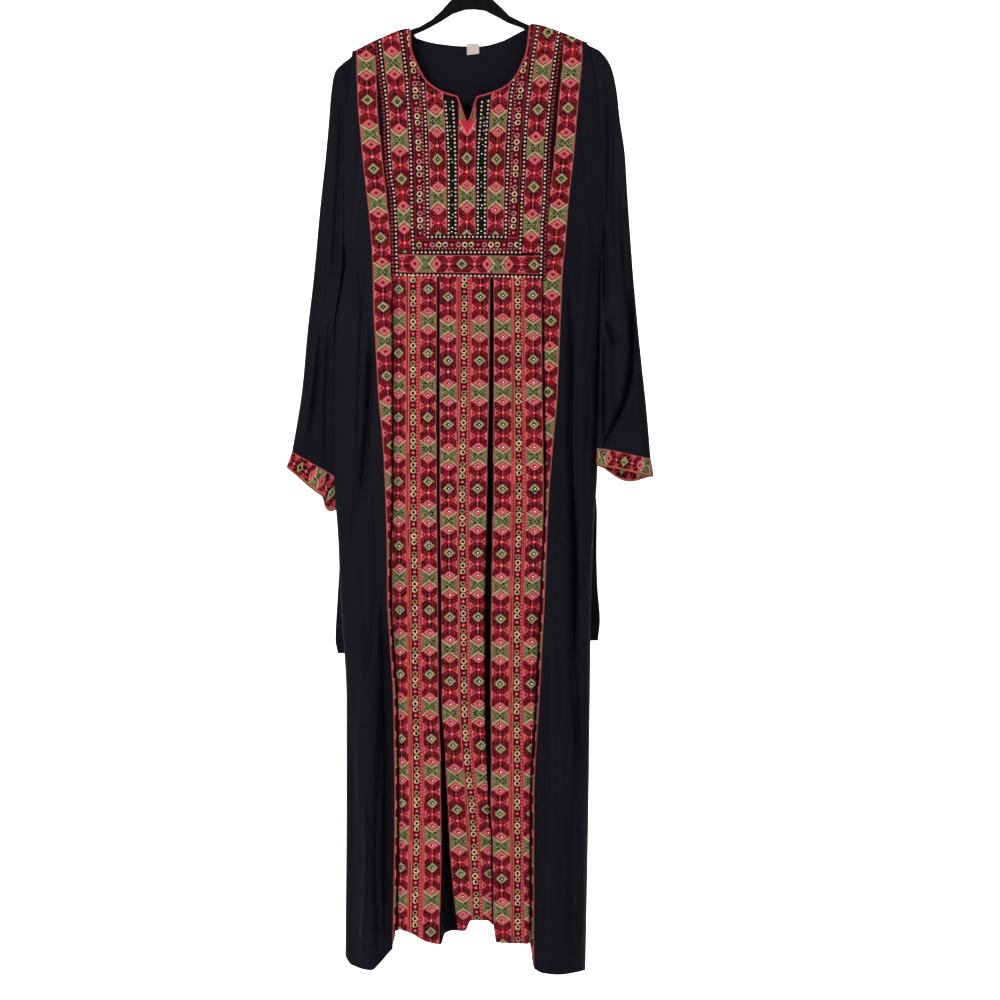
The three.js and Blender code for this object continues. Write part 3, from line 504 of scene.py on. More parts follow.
def wall_depth(side, x, z):
    """How deep the wall stands in front of or behind the middle plane of the dress."""
    left, right = body("left", z), body("right", z)
    across = np.minimum(np.abs((x - (left + right) / 2) / ((right - left) / 2)), 1)
    swell = (1 - across**LENS_POWER) ** (1 / body("round", z))
    wall = blend(body("open", z), body(side, z), swell)
    if side == "front":
        folds = fold_depth(FRONT_FOLDS, x, z) + pleat_depth(x, z)
        folds = folds + CREASE_STRENGTH * fold_depth(FRONT_CREASES, x, z) + level_creases(x, z)
    else:
        folds = fold_depth(BACK_FOLDS, x, z) + CREASE_STRENGTH * fold_depth(BACK_CREASES, x, z)
    over_hanger = quarter_round(shoulder(x) - z, SHOULDER_ROUND)
    return np.maximum((wall - folds * np.minimum(swell * 1.6, 1)) * over_hanger, HALF_GAP)


def front_point(x, z):
    return np.stack([x, -wall_depth("front", x, z), z], -1)


def back_point(x, z):
    return np.stack([x, wall_depth("back", x, z), z], -1)


# ---------- Meshes ----------


def linear(code):
    """The linear values of a colour written as six hex digits."""
    parts = [int(code[i : i + 2], 16) / 255 for i in (0, 2, 4)]
    return np.array([p / 12.92 if p <= 0.04045 else ((p + 0.055) / 1.055) ** 2.4 for p in parts])


BLACK = linear("0c0c11")


def make_object(name, points, faces, material, colours=None, stitches=None, smooth_shading=True):
    """A mesh object from points in millimetres, faces of four corners, and a colour for each face."""
    mesh = bpy.data.meshes.new(name)
    faces = np.asarray(faces, np.int32)
    used, faces = np.unique(faces, return_inverse=True)
    points = np.asarray(points, float)[used]
    faces = faces.reshape(-1, 4)
    mesh.vertices.add(len(points))
    mesh.vertices.foreach_set("co", (points * MM).astype(np.float32).ravel())
    mesh.loops.add(faces.size)
    mesh.loops.foreach_set("vertex_index", faces.ravel().astype(np.int32))
    mesh.polygons.add(len(faces))
    mesh.polygons.foreach_set("loop_start", np.arange(0, faces.size, 4, dtype=np.int32))
    mesh.update(calc_edges=True)
    mesh.polygons.foreach_set("use_smooth", np.full(len(faces), smooth_shading))
    if colours is not None:
        layer = mesh.color_attributes.new(name="dye", type="FLOAT_COLOR", domain="CORNER")
        rgba = np.concatenate([colours, np.ones((len(colours), 1))], 1)
        layer.data.foreach_set("color", np.repeat(rgba, 4, axis=0).astype(np.float32).ravel())
    if stitches is not None:
        layer = mesh.uv_layers.new(name="stitches")
        layer.uv.foreach_set("vector", stitches.astype(np.float32).ravel())
    mesh.validate()
    mesh.materials.append(material)
    made = bpy.data.objects.new(name, mesh)
    bpy.context.collection.objects.link(made)
    return made


def grid_normals(grid, closed):
    if closed:
        across = np.roll(grid, -1, 1) - np.roll(grid, 1, 1)
    else:
        across = np.gradient(grid, axis=1)
    normal = np.cross(np.gradient(grid, axis=0), across)
    return normal / np.maximum(np.linalg.norm(normal, axis=2, keepdims=True), 1e-9)


def grid_faces(rows, columns, closed):
    r = np.arange(rows - 1)[:, None]
    c = np.arange(columns if closed else columns - 1)[None, :]
    after = (c + 1) % columns
    corners = [r * columns + c, (r + 1) * columns + c, (r + 1) * columns + after, r * columns + after]
    return np.stack([np.broadcast_to(x, (rows - 1, c.shape[1])) for x in corners], -1)


def every(count, step):
    places = list(range(0, count, step))
    if places[-1] != count - 1:
        places.append(count - 1)
    return places


def cloth(name, grid, thickness, material, step, keep=None, hollow=None, closed=False, colour=None,
          turned_in=False):
    """A thin shell: the outer face, a coarser inner face, and the cut edges between them.

    `keep` limits how deep the inner face may lie, `hollow` says which places are cut away, and
    `colour` gives the outer faces' dye from their middles and their rows. A piece that is
    `turned_in` has the same dye inside, and its step is 1.
    """
    rows, columns = grid.shape[:2]
    inner = grid - grid_normals(grid, closed) * thickness
    if keep:
        inner[..., 1] = keep(inner[..., 1])
    outer_faces = grid_faces(rows, columns, closed)
    middles = grid.reshape(-1, 3)[outer_faces].mean(2)
    stays = np.ones(outer_faces.shape[:2], bool)
    if hollow:
        stays = ~hollow(middles[..., 0], middles[..., 2])
    row_at, column_at = np.nonzero(stays)
    chosen = outer_faces[stays]
    points = [grid.reshape(-1, 3)]
    faces = [chosen]

    # The cut edges, each a narrow strip of its own, so that the cloth's faces shade smoothly up to it.
    starts, ends = chosen, np.roll(chosen, -1, 1)
    size = rows * columns
    forward = (starts.astype(np.int64) * size + ends).ravel()
    backward = (ends.astype(np.int64) * size + starts).ravel()
    open_edges = ~np.isin(forward, backward)
    a, b = starts.ravel()[open_edges], ends.ravel()[open_edges]
    base = size
    points += [grid.reshape(-1, 3), inner.reshape(-1, 3)]
    faces.append(np.stack([b + base, a + base, a + base + size, b + base + size], 1))
    rim_count = len(a)
    base += 2 * size

    # The inner face.
    kept_rows = every(rows, step)
    kept_columns = list(range(0, columns, step)) if closed else every(columns, step)
    coarse = inner[np.ix_(kept_rows, kept_columns)]
    inner_faces = grid_faces(len(kept_rows), len(kept_columns), closed)[..., ::-1]
    corners = coarse.reshape(-1, 3)[inner_faces]
    inside = np.ones(inner_faces.shape[:2], bool)
    if hollow:
        inside = ~hollow(corners[..., 0], corners[..., 2]).any(-1)
    points.append(coarse.reshape(-1, 3))
    faces.append(inner_faces[inside] + base)

    colours = None
    stitches = None
    if colour is not None:
        outer_dye = colour(middles[stays], row_at)
        rim_dye = np.tile(linear("2a0b10"), (rim_count, 1))
        inner_dye = outer_dye if turned_in else np.tile(BLACK, (int(inside.sum()), 1))
        colours = np.concatenate([outer_dye, rim_dye, inner_dye])
        corner = np.array([[0, 0], [0, 1], [1, 1], [1, 0]])
        at = np.stack([column_at, row_at], 1)[:, None, :] + corner[None]
        plain = np.full((rim_count + int(inside.sum()), 4, 2), 0.25)
        stitches = np.concatenate([at, plain]).reshape(-1, 2)
    return make_object(name, np.concatenate(points), np.concatenate(faces), material, colours, stitches)


# ---------- Materials ----------


class Nodes:
    """Adds shader nodes to one material and joins them."""

    def __init__(self, name):
        self.material = bpy.data.materials.new(name)
        self.material.use_nodes = True
        self.tree = self.material.node_tree
        self.shader = self.tree.nodes["Principled BSDF"]

    def add(self, kind, inputs=(), **settings):
        node = self.tree.nodes.new(kind)
        for key, value in settings.items():
            setattr(node, key, value)
        for key, value in dict(inputs).items():
            self.put(node.inputs[key], value)
        return node

    def put(self, socket, value):
        if isinstance(value, bpy.types.NodeSocket):
            self.tree.links.new(value, socket)
        else:
            socket.default_value = value

    def math(self, operation, *values):
        node = self.tree.nodes.new("ShaderNodeMath")
        node.operation = operation
        for socket, value in zip(node.inputs, values):
            self.put(socket, value)
        return node.outputs[0]

    def noise(self, scale, detail=3.0, roughness=0.55, vector=None):
        node = self.add("ShaderNodeTexNoise", {"Scale": scale, "Detail": detail, "Roughness": roughness})
        self.put(node.inputs["Vector"], vector or self.place())
        return node.outputs["Fac"]

    def place(self):
        if not hasattr(self, "coordinates"):
            self.coordinates = self.add("ShaderNodeTexCoord")
        return self.coordinates.outputs["Object"]

    def ramp(self, value, low, high):
        node = self.add("ShaderNodeMapRange", {"Value": value, "To Min": low, "To Max": high})
        return node.outputs["Result"]

    def colours(self, value, dark, light, start=0.3):
        node = self.add("ShaderNodeValToRGB", {"Fac": value})
        for element, place, code in zip(node.color_ramp.elements, (start, 1 - start), (dark, light)):
            element.position = place
            element.color = (*linear(code), 1)
        return node.outputs["Color"]

    def mixed(self, a, share, b):
        return self.math("MULTIPLY_ADD", a, share, self.math("MULTIPLY", b, 1 - share))

    def stitch_place(self):
        """The place within the stitches, across and down."""
        at = self.add("ShaderNodeUVMap", uv_map="stitches").outputs["UV"]
        split = self.add("ShaderNodeSeparateXYZ", {"Vector": at})
        return split.outputs["X"], split.outputs["Y"]

    def tint(self, colour, value):
        """The colour made lighter or darker by a value round 1."""
        node = self.add("ShaderNodeVectorMath", {0: colour}, operation="SCALE")
        self.put(node.inputs["Scale"], value)
        return node.outputs["Vector"]

    def bump(self, height, strength, distance):
        node = self.add("ShaderNodeBump", {"Height": height, "Strength": strength, "Distance": distance})
        self.put(self.shader.inputs["Normal"], node.outputs["Normal"])

    def surface(self, **sockets):
        for name, value in sockets.items():
            self.put(self.shader.inputs[name.replace("_", " ")], value)


def crepe_material():
    """Blue-black crepe: a fine pebbled weave of twisted yarn with a faint slub and small soft wrinkles."""
    n = Nodes("crepe")
    pebble = n.noise(1500, 2, 0.6)
    slub = n.noise(260, 3, 0.6)
    drift = n.noise(9, 2, 0.5)
    stretched = n.add("ShaderNodeMapping", {"Vector": n.place(), "Scale": (34, 34, 5)})
    wrinkle = n.noise(1.0, 3, 0.5, stretched.outputs["Vector"])
    base = n.colours(n.mixed(slub, 0.6, drift), "0d0d14", "14141c")
    height = n.math("MULTIPLY_ADD", pebble, 0.12, wrinkle)
    n.surface(Base_Color=base, Roughness=n.ramp(slub, 0.55, 0.75), Sheen_Weight=0.006, Sheen_Roughness=0.5,
              Specular_IOR_Level=0.05)
    n.bump(height, 0.55, 0.0016)
    return n.material


def embroidery_material():
    """Cotton cross-stitch: each stitch a raised X in its own dye, the thread a little uneven, and painted
    shade darkening the dye where the stitch sinks between the legs of its X.
    """
    n = Nodes("embroidery")
    dye = n.add("ShaderNodeVertexColor", layer_name="dye").outputs["Color"]
    across, down = (n.math("FRACT", place) for place in n.stitch_place())
    rising = n.math("ABSOLUTE", n.math("SUBTRACT", across, down))
    falling = n.math("ABSOLUTE", n.math("SUBTRACT", n.math("ADD", across, down), 1.0))
    legs = n.math("MINIMUM", rising, falling)
    relief = n.math("SMOOTH_MIN", legs, 0.34, 0.1)
    yarn = n.noise(900, 3, 0.6)
    fade = n.noise(38, 2, 0.5)
    shade = n.math("ADD", n.ramp(yarn, -0.16, 0.16), n.ramp(fade, 0.88, 1.12))
    # Painted shade: the uneven tone is darkened where the stitch sinks between the legs of its X, as the bump
    # does.
    tone_and_groove_shade = n.math("SUBTRACT", shade, n.math("MULTIPLY", relief, 0.35))
    height = n.math("MULTIPLY_ADD", yarn, 0.35, n.math("MULTIPLY", relief, -1.6))
    n.surface(Base_Color=n.tint(dye, tone_and_groove_shade), Roughness=n.ramp(yarn, 0.65, 0.85), Specular_IOR_Level=0.06)
    n.bump(height, 0.6, 0.0006)
    return n.material


def braid_material():
    """Red satin braid, twisted."""
    n = Nodes("braid")
    twist = n.math("SINE", n.math("MULTIPLY", n.math("ADD", *n.stitch_place()), 6.283))
    fuzz = n.noise(1100, 3, 0.6)
    base = n.colours(n.math("MULTIPLY_ADD", twist, 0.22, fuzz), "780e1a", "c83444", 0.25)
    n.surface(Base_Color=base, Roughness=n.ramp(fuzz, 0.42, 0.66), Sheen_Weight=0.1)
    n.bump(n.math("MULTIPLY_ADD", fuzz, 0.5, twist), 0.5, 0.0006)
    return n.material


def one_grain(name, grain, tones, roughness, relief=None, **sockets):
    """A material whose tone, roughness and relief all follow one noise."""
    n = Nodes(name)
    noise = n.noise(*grain)
    base = n.colours(noise, *tones)
    n.surface(Base_Color=base, Roughness=n.ramp(noise, *roughness), **sockets)
    if relief:
        n.bump(noise, *relief)
    return n.material


def pearl_material():
    n = Nodes("pearl")
    cloud = n.noise(420, 3, 0.5)
    tone = n.noise(60, 2, 0.5)
    base = n.colours(n.mixed(cloud, 0.4, tone), "cfb096", "ecd5c2")
    n.surface(Base_Color=base, Roughness=n.ramp(cloud, 0.2, 0.36), Coat_Weight=0.5, Coat_Roughness=0.12)
    n.bump(cloud, 0.1, 0.0003)
    return n.material


def label_material():
    """Cream woven tape with a fine plain weave."""
    n = Nodes("label_tape")
    wave = n.add("ShaderNodeTexWave", {"Vector": n.place(), "Scale": 420.0, "Distortion": 0.6},
                 bands_direction="Z").outputs["Fac"]
    fuzz = n.noise(900, 2, 0.6)
    base = n.colours(n.mixed(wave, 0.5, fuzz), "b3a69f", "d3c8c0", 0.2)
    n.surface(Base_Color=base, Roughness=n.ramp(fuzz, 0.5, 0.75), Sheen_Weight=0.1)
    n.bump(n.math("ADD", wave, fuzz), 0.3, 0.0003)
    return n.material


def velvet_material():
    """Black flock: a deep, matt, short pile with a soft rim of sheen."""
    n = Nodes("velvet")
    pile = n.noise(2400, 2, 0.7)
    brushed = n.noise(42, 3, 0.6)
    base = n.colours(brushed, "08080a", "121214")
    n.surface(Base_Color=base, Roughness=n.ramp(brushed, 0.85, 1.0), Sheen_Weight=0.08, Sheen_Roughness=0.35,
              Specular_IOR_Level=0.1)
    n.bump(pile, 0.5, 0.0005)
    return n.material


crepe = crepe_material()
embroidery = embroidery_material()
braid = braid_material()
pearl = pearl_material()
rhinestone = one_grain("rhinestone", (700, 2, 0.5), ("b9c0c8", "ffffff"), (0.08, 0.25), (0.2, 0.0003),
                       Metallic=0.85)
chrome = one_grain("hook_chrome", (130, 4, 0.6), ("b7babf", "d7dade"), (0.14, 0.32), (0.08, 0.0003),
                   Metallic=1.0)
paper = one_grain("studio_paper", (30, 3, 0.5), ("f4f4f3", "f8f8f7"), (0.85, 0.95))

# ---------- The cross-stitch chart ----------

CRIMSON, MAROON, GAP = linear("a61a2e"), linear("5c0d1b"), linear("14060a")
PINK, BLUSH, ROSE = linear("c04c52"), linear("d07270"), linear("b4404a")
CREAM, TAN, OLIVE = linear("c8a286"), linear("94604e"), linear("846a50")
GREEN, LEAF, DARK_GREEN = linear("7a7e4e"), linear("aea478"), linear("0c130a")
WINE, ORANGE, EDGE = linear("1e0407"), linear("e88878"), linear("a04a46")

STAR_REPEAT = 65.0
STAR_HALF = 8.8
# Middles of the elements of a star strip along half a repeat, from the lattice.
ROSE_AT, TRIANGLES_AT, GREEN_AT = 9.7, 21.0, 32.5


def star_strip(u, v, repeat, half=STAR_HALF):
    """Dyes of a star strip: u is the place across, v the place along from the middle of a lattice."""
    u = u * STAR_HALF / half
    t = (v / repeat - np.round(v / repeat)) * STAR_REPEAT
    a, w = np.abs(t), np.abs(u)
    reach = np.abs(a - TRIANGLES_AT)
    dye = np.tile(CRIMSON, (len(u), 1))

    # Dark leaves in rows round the middle of each pair of triangles, with crimson veins between them.
    slant = reach - 0.85 * (w - 2.8)
    for middle, half_width in ((1.8, 0.75), (4.0, 0.8), (6.2, 0.7), (8.2, 0.5)):
        dye[(w > 2.2) & (np.abs(slant - middle) < half_width)] = WINE
    dye[(w > 2.2) & (np.abs(slant - 2.9) < 0.3) & (w < 6.0)] = ROSE
    dye[(w > 0.7) & (w < 1.9) & (reach > 1.6) & (reach < 8.5)] = WINE
    dye[(w < 0.5) & (reach > 1.6)] = ROSE

    triangle = (w > 3.0) & (w < 7.7) & (reach < (w - 2.6) * 0.85)
    dye[triangle] = PINK
    dye[(w > 6.9) & (w < 7.7) & (reach < 3.4)] = BLUSH
    dye[(np.abs(w - 5.5) < 0.8) & (reach < 0.9)] = MAROON
    dye[(w < 0.95) & (reach < 0.95)] = ORANGE

    # The lattice: cream lines off the diamonds' edges, green crossed with black between them.
    d = w / 6.4 + np.abs(a - ROSE_AT) / 4.9
    lattice = (a < ROSE_AT - 0.3) & (d > 1.16)
    dye[lattice] = TAN
    field = lattice & (w < 6.6) & (d > 1.48)
    dye[field] = GREEN
    dye[field & (w > 3.6) & (a < 1.6)] = LEAF
    rising, falling = w - 1.25 * a, w + 1.25 * a
    crossed = (np.abs(rising) < 0.5) | (np.abs(falling - 4.4) < 0.45) | (np.abs(rising - 3.4) < 0.45)
    dye[field & crossed] = DARK_GREEN
    dye[field & (np.abs(falling - 6.6) < 0.5)] = DARK_GREEN
    dye[lattice & ~field & (np.floor(falling / 1.7) % 2 == 0)] = OLIVE
    dye[lattice & (d < 1.48)] = CREAM

    dye[(d > 1.0) & (d < 1.16)] = WINE
    dye[d < 1.0] = PINK
    dye[d < 0.78] = BLUSH
    dye[d < 0.54] = PINK
    dye[d < 0.28] = MAROON

    g = w / 6.0 + np.abs(a - GREEN_AT) / 5.6
    dye[g < 1.22] = WINE
    dye[g < 1.0] = OLIVE
    dye[g < 0.8] = LEAF
    dye[g < 0.6] = GREEN
    dye[g < 0.42] = DARK_GREEN
    # Painted highlight: a cream glint in the middle of each green diamond.
    dye[g < 0.14] = CREAM

    dye[w > 7.9] = EDGE
    dye[(w > 7.9) & (a < 3.5)] = TAN
    dye[w > STAR_HALF] = GAP
    return dye


RING_REPEAT = 23.7
RING_SIZES = ((1.6, 0.0), (2.5, 1.4), (2.7, 1.6), (2.6, 1.5))
SKIRT_RINGS = (linear("c8505a"), linear("a08c64"), linear("dcc598"), linear("b8a478"))
CHEST_RINGS = (linear("c4404c"), linear("cf7478"), linear("dfcca0"), linear("b9a478"))


def ring_strip(u, v, repeat, ring_dyes):
    """Dyes of a chain of rings on a dark ground: a small red one and three larger ones."""
    place = (v / repeat) % 1.0 * 4
    nearest = np.round(place)
    local = (place - nearest) * repeat / 4
    which = nearest.astype(int) % 4
    r = np.hypot(u, local)
    dye = np.tile(MAROON, (len(u), 1))
    dye[(np.abs(local) < 2.6) & (np.abs(u) < 2.4)] = WINE
    for i, (ring_dye, (outer, hole)) in enumerate(zip(ring_dyes, RING_SIZES)):
        dye[(which == i) & (r < outer)] = ring_dye
        dye[(which == i) & (r < hole)] = GAP
    # Painted highlights: an orange-pink spot in the middle of the small red dot, and a lighter left side on
    # the fourth ring.
    dye[(which == 0) & (r < 0.8)] = ORANGE
    dye[(which == 3) & (r < 2.6) & (r > 1.5) & (u < -0.8)] = linear("e0cda4")
    return dye


def ring_borders(dye, u, v, sign, bold=True):
    """The lines beside a chain: a tan one on one side, dots and a coral one on the other."""
    across = u * sign
    dots = (np.floor(v / 1.7) % 2) == 0
    dye[(across < -3.1)] = CRIMSON if bold else GAP
    dye[(across < -3.8)] = linear("bc5c50") if bold else linear("7c1b2a")
    dye[(across < -5.1)] = WINE
    dye[(across < -5.7)] = linear("bc4040") if bold else linear("8f2433")
    dye[(across > 3.1)] = CRIMSON if bold else WINE
    dye[(across > 3.5) & (across < 4.9) & dots] = linear("d66a6c")
    dye[(across > 5.5)] = linear("b84a44") if bold else linear("8f2433")
    return dye


# Lines of the chest by height v: the three rows of pearls on each side, and the middle columns.
CHEST_LINES = table("""
v outL midL inL inR midR outR a1 a2 b1 b2
24 378.0 400.4 416.0 520.5 538.4 560.6 443 450 484 491
34 379.0 401.3 417.0 519.0 536.9 558.8 443 450 484 491
60 381.5 404.8 420.0 516.0 532.8 555.0 444 451 483 490
80 383.8 407.0 422.5 513.9 530.3 552.3 444.6 451.6 483 489.4
100 386.5 408.0 424.2 511.0 528.2 549.8 445.4 452.6 482.3 488.6
120 388.0 409.4 425.6 509.6 526.4 548.0 446.9 453.9 480.8 487.3
146 389.0 410.8 426.5 508.4 524.6 546.0 448.3 455.2 478.9 485.7
173 390.9 411.6 427.4 507.5 523.7 545.0 449.0 455.8 478.0 485.0
200 394.8 411.9 427.9 506.6 521.9 544.2 449.0 455.8 478.0 485.0
227 396.2 412.6 428.2 505.9 521.0 542.0 449.0 455.8 478.0 485.0
254 396.8 413.9 428.5 505.4 520.0 541.3 449.0 455.8 478.0 485.0
282 397.4 414.5 429.0 505.0 519.5 540.6 449.0 455.8 478.0 485.0
""")
IN_FOOT, MID_FOOT, BELOW_ALL = 238.0, 253.4, 400.0
PEARL_BAND = 1.9
DOT_OFFSET = 3.6
SLIT_PATCH = {"u": 467.5, "top": 121, "foot": 137, "half": 7.5}
# The chest's star strips: the lines they lie between, the height they end at, the middle of a lattice,
# the repeat and the half width.
CHEST_STARS = (
    ("outL", "midL", BELOW_ALL, 141.0, 77.5, 9.2),
    ("midR", "outR", BELOW_ALL, 149.0, 77.5, 9.2),
    ("inL", "a1", IN_FOOT, 121.7, 77.4, STAR_HALF),
    ("a2", "b1", IN_FOOT, 120.2, 77.4, STAR_HALF),
    ("b2", "inR", IN_FOOT, 121.7, 77.4, STAR_HALF),
)


def out_foot(u):
    return 275.6 + (u - 397) * 0.0167


def chest_line(name, v):
    return read(CHEST_LINES, "v", name, v)


def to_uv(x, z):
    return x / UNIT + U_ZERO, (V_ZERO - z) / UNIT


def to_xz(u, v):
    return (np.asarray(u, float) - U_ZERO) * UNIT, V_ZERO - np.asarray(v, float) * UNIT


def uneven(dye):
    """Each stitch a little lighter or darker than the next."""
    return dye * (1 + 0.2 * (chance.random((len(dye), 1)) - 0.5) * 2)


def chest_dye(middles, row_at):
    u, v = to_uv(middles[:, 0], middles[:, 2])
    line = {name: chest_line(name, v) for name in CHEST_LINES if name != "v"}
    foot = out_foot(u)
    dye = np.tile(GAP, (len(u), 1))

    def between(first, last):
        return (u > line[first]) & (u < line[last])

    def lay(where, shades):
        dye[where] = shades[where]

    def chain(across, along, start, sign=1):
        rings = ring_strip(across, along - start, 26, CHEST_RINGS)
        return ring_borders(rings, across, along, sign, False)

    for first, last, low, lattice, repeat, half in CHEST_STARS:
        middle = (line[first] + line[last]) / 2
        lay(between(first, last) & (v < low), star_strip(u - middle, v - lattice, repeat, half))
    under = (v > MID_FOOT) & (v < foot)
    lay(under & between("outL", "outR"), star_strip(v - (MID_FOOT + foot) / 2, u - 426, 72, 9.2))

    # Chains of rings between the middle and the inner row of pearls.
    inside_mid = between("midL", "midR") & (v < MID_FOOT)
    lay(inside_mid & (u < line["inL"]), chain(u - (line["midL"] + line["inL"]) / 2, v, 78))
    lay(inside_mid & (u > line["inR"]), chain(u - (line["midR"] + line["inR"]) / 2, v, 78, -1))
    lay(inside_mid & (v > IN_FOOT), chain(v - (IN_FOOT + MID_FOOT) / 2, u, 426))

    # Two dark columns between rows of pearls, and dark ground under every row.
    inner = between("inL", "inR") & (v < IN_FOOT)
    dye[inner & (between("a1", "a2") | between("b1", "b2"))] = linear("0b1611")
    near = np.zeros(len(u), bool)
    for left, right, low in (("outL", "outR", foot), ("midL", "midR", MID_FOOT), ("inL", "inR", IN_FOOT)):
        for name in (left, right):
            near |= (np.abs(u - line[name]) < PEARL_BAND) & (v < low + 2)
        near |= (np.abs(v - low) < PEARL_BAND) & between(left, right)
    for name in ("a1", "a2", "b1", "b2"):
        near |= inner & (np.abs(u - line[name]) < PEARL_BAND)
    dye[near] = GAP
    lay_dots(dye, u, v, line["outL"] - DOT_OFFSET)
    lay_dots(dye, u, v, line["outR"] + DOT_OFFSET)

    # The red patch under the slit.
    reach = SLIT_PATCH["half"] * (SLIT_PATCH["foot"] - v) / 13
    away = np.abs(u - SLIT_PATCH["u"])
    patch = (v > SLIT_PATCH["top"]) & (v < SLIT_PATCH["foot"]) & (away < reach)
    dye[patch] = linear("c62c3e")
    dye[patch & (away > reach - 1.1)] = linear("e8707a")
    return uneven(dye)


def lay_dots(dye, u, v, at):
    """A column of small pink-red dots on dark ground."""
    beside = np.abs(u - at) < 2.2
    dye[beside] = GAP
    round_dot = np.hypot(u - at, (v / 4.05 - np.round(v / 4.05)) * 4.05) < 1.25
    dye[beside & round_dot] = linear("9c3040")


OUTER_HALF, OUTER_EDGE = 9.8, 8.6
# Each outer strip: its outer edge, the chest's line beside it, the way inward, the middle of a lattice,
# the repeat and the edge's colour.
OUTER_STRIPS = {
    "left": ("leftOut", "outL", 1, 66, 69, "a84c44"),
    "right": ("rightOut", "outR", -1, 144, 71, "98544a"),
}


def outer_strip_dye(name):
    outside, beside, inward, lattice, repeat, edge = OUTER_STRIPS[name]

    def dye_of(middles, row_at):
        z = middles[:, 2]
        u, v = to_uv(middles[:, 0], z)
        across = u - (to_uv(strip(outside, z), z)[0] + OUTER_HALF * inward)
        dye = star_strip(across, v - lattice, repeat, OUTER_HALF)
        dye[across * inward < -OUTER_EDGE] = linear(edge)
        lay_dots(dye, u, v, np.where(v < 282, chest_line(beside, v) - DOT_OFFSET * inward, -100))
        return uneven(dye)

    return dye_of


# Middles of the skirt's strips by height: star strips b to g, and the chains r1 to r3.
SKIRT_LINES = table("""
v b r1 c d r2 e f r3 g
277 399.5 413.5 428.7 448.2 464.5 480.6 502.8 517.5 532.5
400 399 413.5 428.2 448.6 464 479.4 503 518.5 533.5
500 399 414 429 449 462.5 477.7 502.5 519 534.5
600 400.5 415.5 429.8 450 463.5 478 500.7 517 532
700 401 416 430.5 450.5 464.5 479.3 500 516.5 531
760 402.5 417.5 432.5 454.5 467.5 482.5 500.5 517 531.5
800 402.5 417.5 432.8 457 472 486.5 500 517 531.5
850 402 417 433 459.5 474.5 489 501.5 517.5 531.5
900 401 416 432 463 476.5 491 502 517.5 532
945 400.5 415.5 431 465 478 492 503 518 532.5
""")
# Each pleat group: its two star strips and their half widths, its chain, the middle of its first
# lattice, the repeat, and where its first ring lies.
GROUPS = {
    "left": (("b", "c"), (7.8, 8.6), "r1", 322.0, 63.8, 334.5),
    "middle": (("d", "e"), (9.0, 9.3), "r2", 329.5, 63.7, 340.0),
    "right": (("f", "g"), (9.3, 9.0), "r3", 328.0, 64.4, 337.0),
}


def skirt_dye(name):
    stars, (half, second_half), chain_name, lattice, repeat, first_ring = GROUPS[name]

    def dye_of(middles, row_at):
        x, z = middles[:, 0], middles[:, 2]
        u, v = to_uv(x, z)
        first, second, chain = (read(SKIRT_LINES, "v", column, v) for column in (*stars, chain_name))
        dye = np.where(
            (u < chain)[:, None],
            star_strip(u - first, v - lattice, repeat, half),
            star_strip(u - second, v - lattice, repeat, second_half),
        )
        beside = (u > first + half) & (u < second - second_half)
        rings = ring_strip(u - chain, v - first_ring, RING_REPEAT, SKIRT_RINGS)
        dye[beside] = ring_borders(rings, u - chain, v, 1)[beside]
        # Painted shade: below the chest, the middle of each pleat's floor is dyed near black.
        for at, wide in (("slitAt", "slitHalf"), ("tuckAt", "tuckHalf")):
            floor = np.abs(x - pleat(at, z)) < pleat(wide, z) * 0.55
            dye[floor & (v > 285)] = linear("12090c")
        # Painted shade: the left group's first strip is darkened towards its left edge, where it turns in
        # under the front strip.
        if name == "left":
            dye *= blend(0.62, 1, smooth((u - first + 7) / 12))[:, None]
        return uneven(dye)

    return dye_of


# ---------- Cloth pieces of the body ----------


def panel_grid(edge, top, bottom, places, shares, point):
    """A grid whose columns follow `edge` and whose rows run from the top line to the bottom one."""
    places, shares = np.asarray(places, float), np.asarray(shares, float)
    u, s = np.meshgrid(places, shares)
    z = np.full(u.shape, -400.0)
    for _ in range(5):
        x = edge(u, z)
        z = blend(top(x), bottom(x), s)
    return point(edge(u, z), z)


def even(count):
    return np.linspace(0, 1, count + 1)


def shoulder_first(length, cell):
    """Shares of a column: close together where the cloth rounds over the hanger, then even."""
    first = SHOULDER_ROUND / length
    round_part = first * np.array([0, 0.05, 0.14, 0.28, 0.48, 0.72])
    return np.concatenate([round_part, np.linspace(first, 1, round((length - SHOULDER_ROUND) / cell) + 1)])


def hem(rows):
    return lambda x: read(rows, "x", "z", x) + HALF_GAP


def keep_front(y):
    return -np.maximum(-y, HALF_GAP)


def keep_back(y):
    return np.maximum(y, HALF_GAP)


def catmull(points, steps):
    """A smooth curve through points, as (x, z) rows."""
    p = np.asarray(points, float)
    p = np.concatenate([[2 * p[0] - p[1]], p, [2 * p[-1] - p[-2]]])
    made = []
    for i in range(1, len(p) - 2):
        a, b, c, d = p[i - 1 : i + 3]
        s = np.linspace(0, 1, steps, endpoint=False)[:, None]
        bend = (2 * a - 5 * b + 4 * c - d) * s**2
        made.append(0.5 * (2 * b + (c - a) * s + bend + (3 * b - a - 3 * c + d) * s**3))
    made.append(p[-2][None])
    return np.concatenate(made)


def neckline():
    """The front neckline in the order of its tables, round at the neck and pointed at the slit."""
    left = np.stack([NECK["x"], NECK["z"]], 1)
    right = np.stack([NECK_RIGHT["x"], NECK_RIGHT["z"]], 1)
    arc_left = catmull(left[:7], 10)
    slit = catmull(left[6:9], 6)[1:]
    up = catmull(np.concatenate([left[8:9], right[:3]]), 6)[1:]
    arc_right = catmull(right[2:], 10)[1:]
    return np.concatenate([arc_left, slit, up, arc_right])


NECKLINE = neckline()


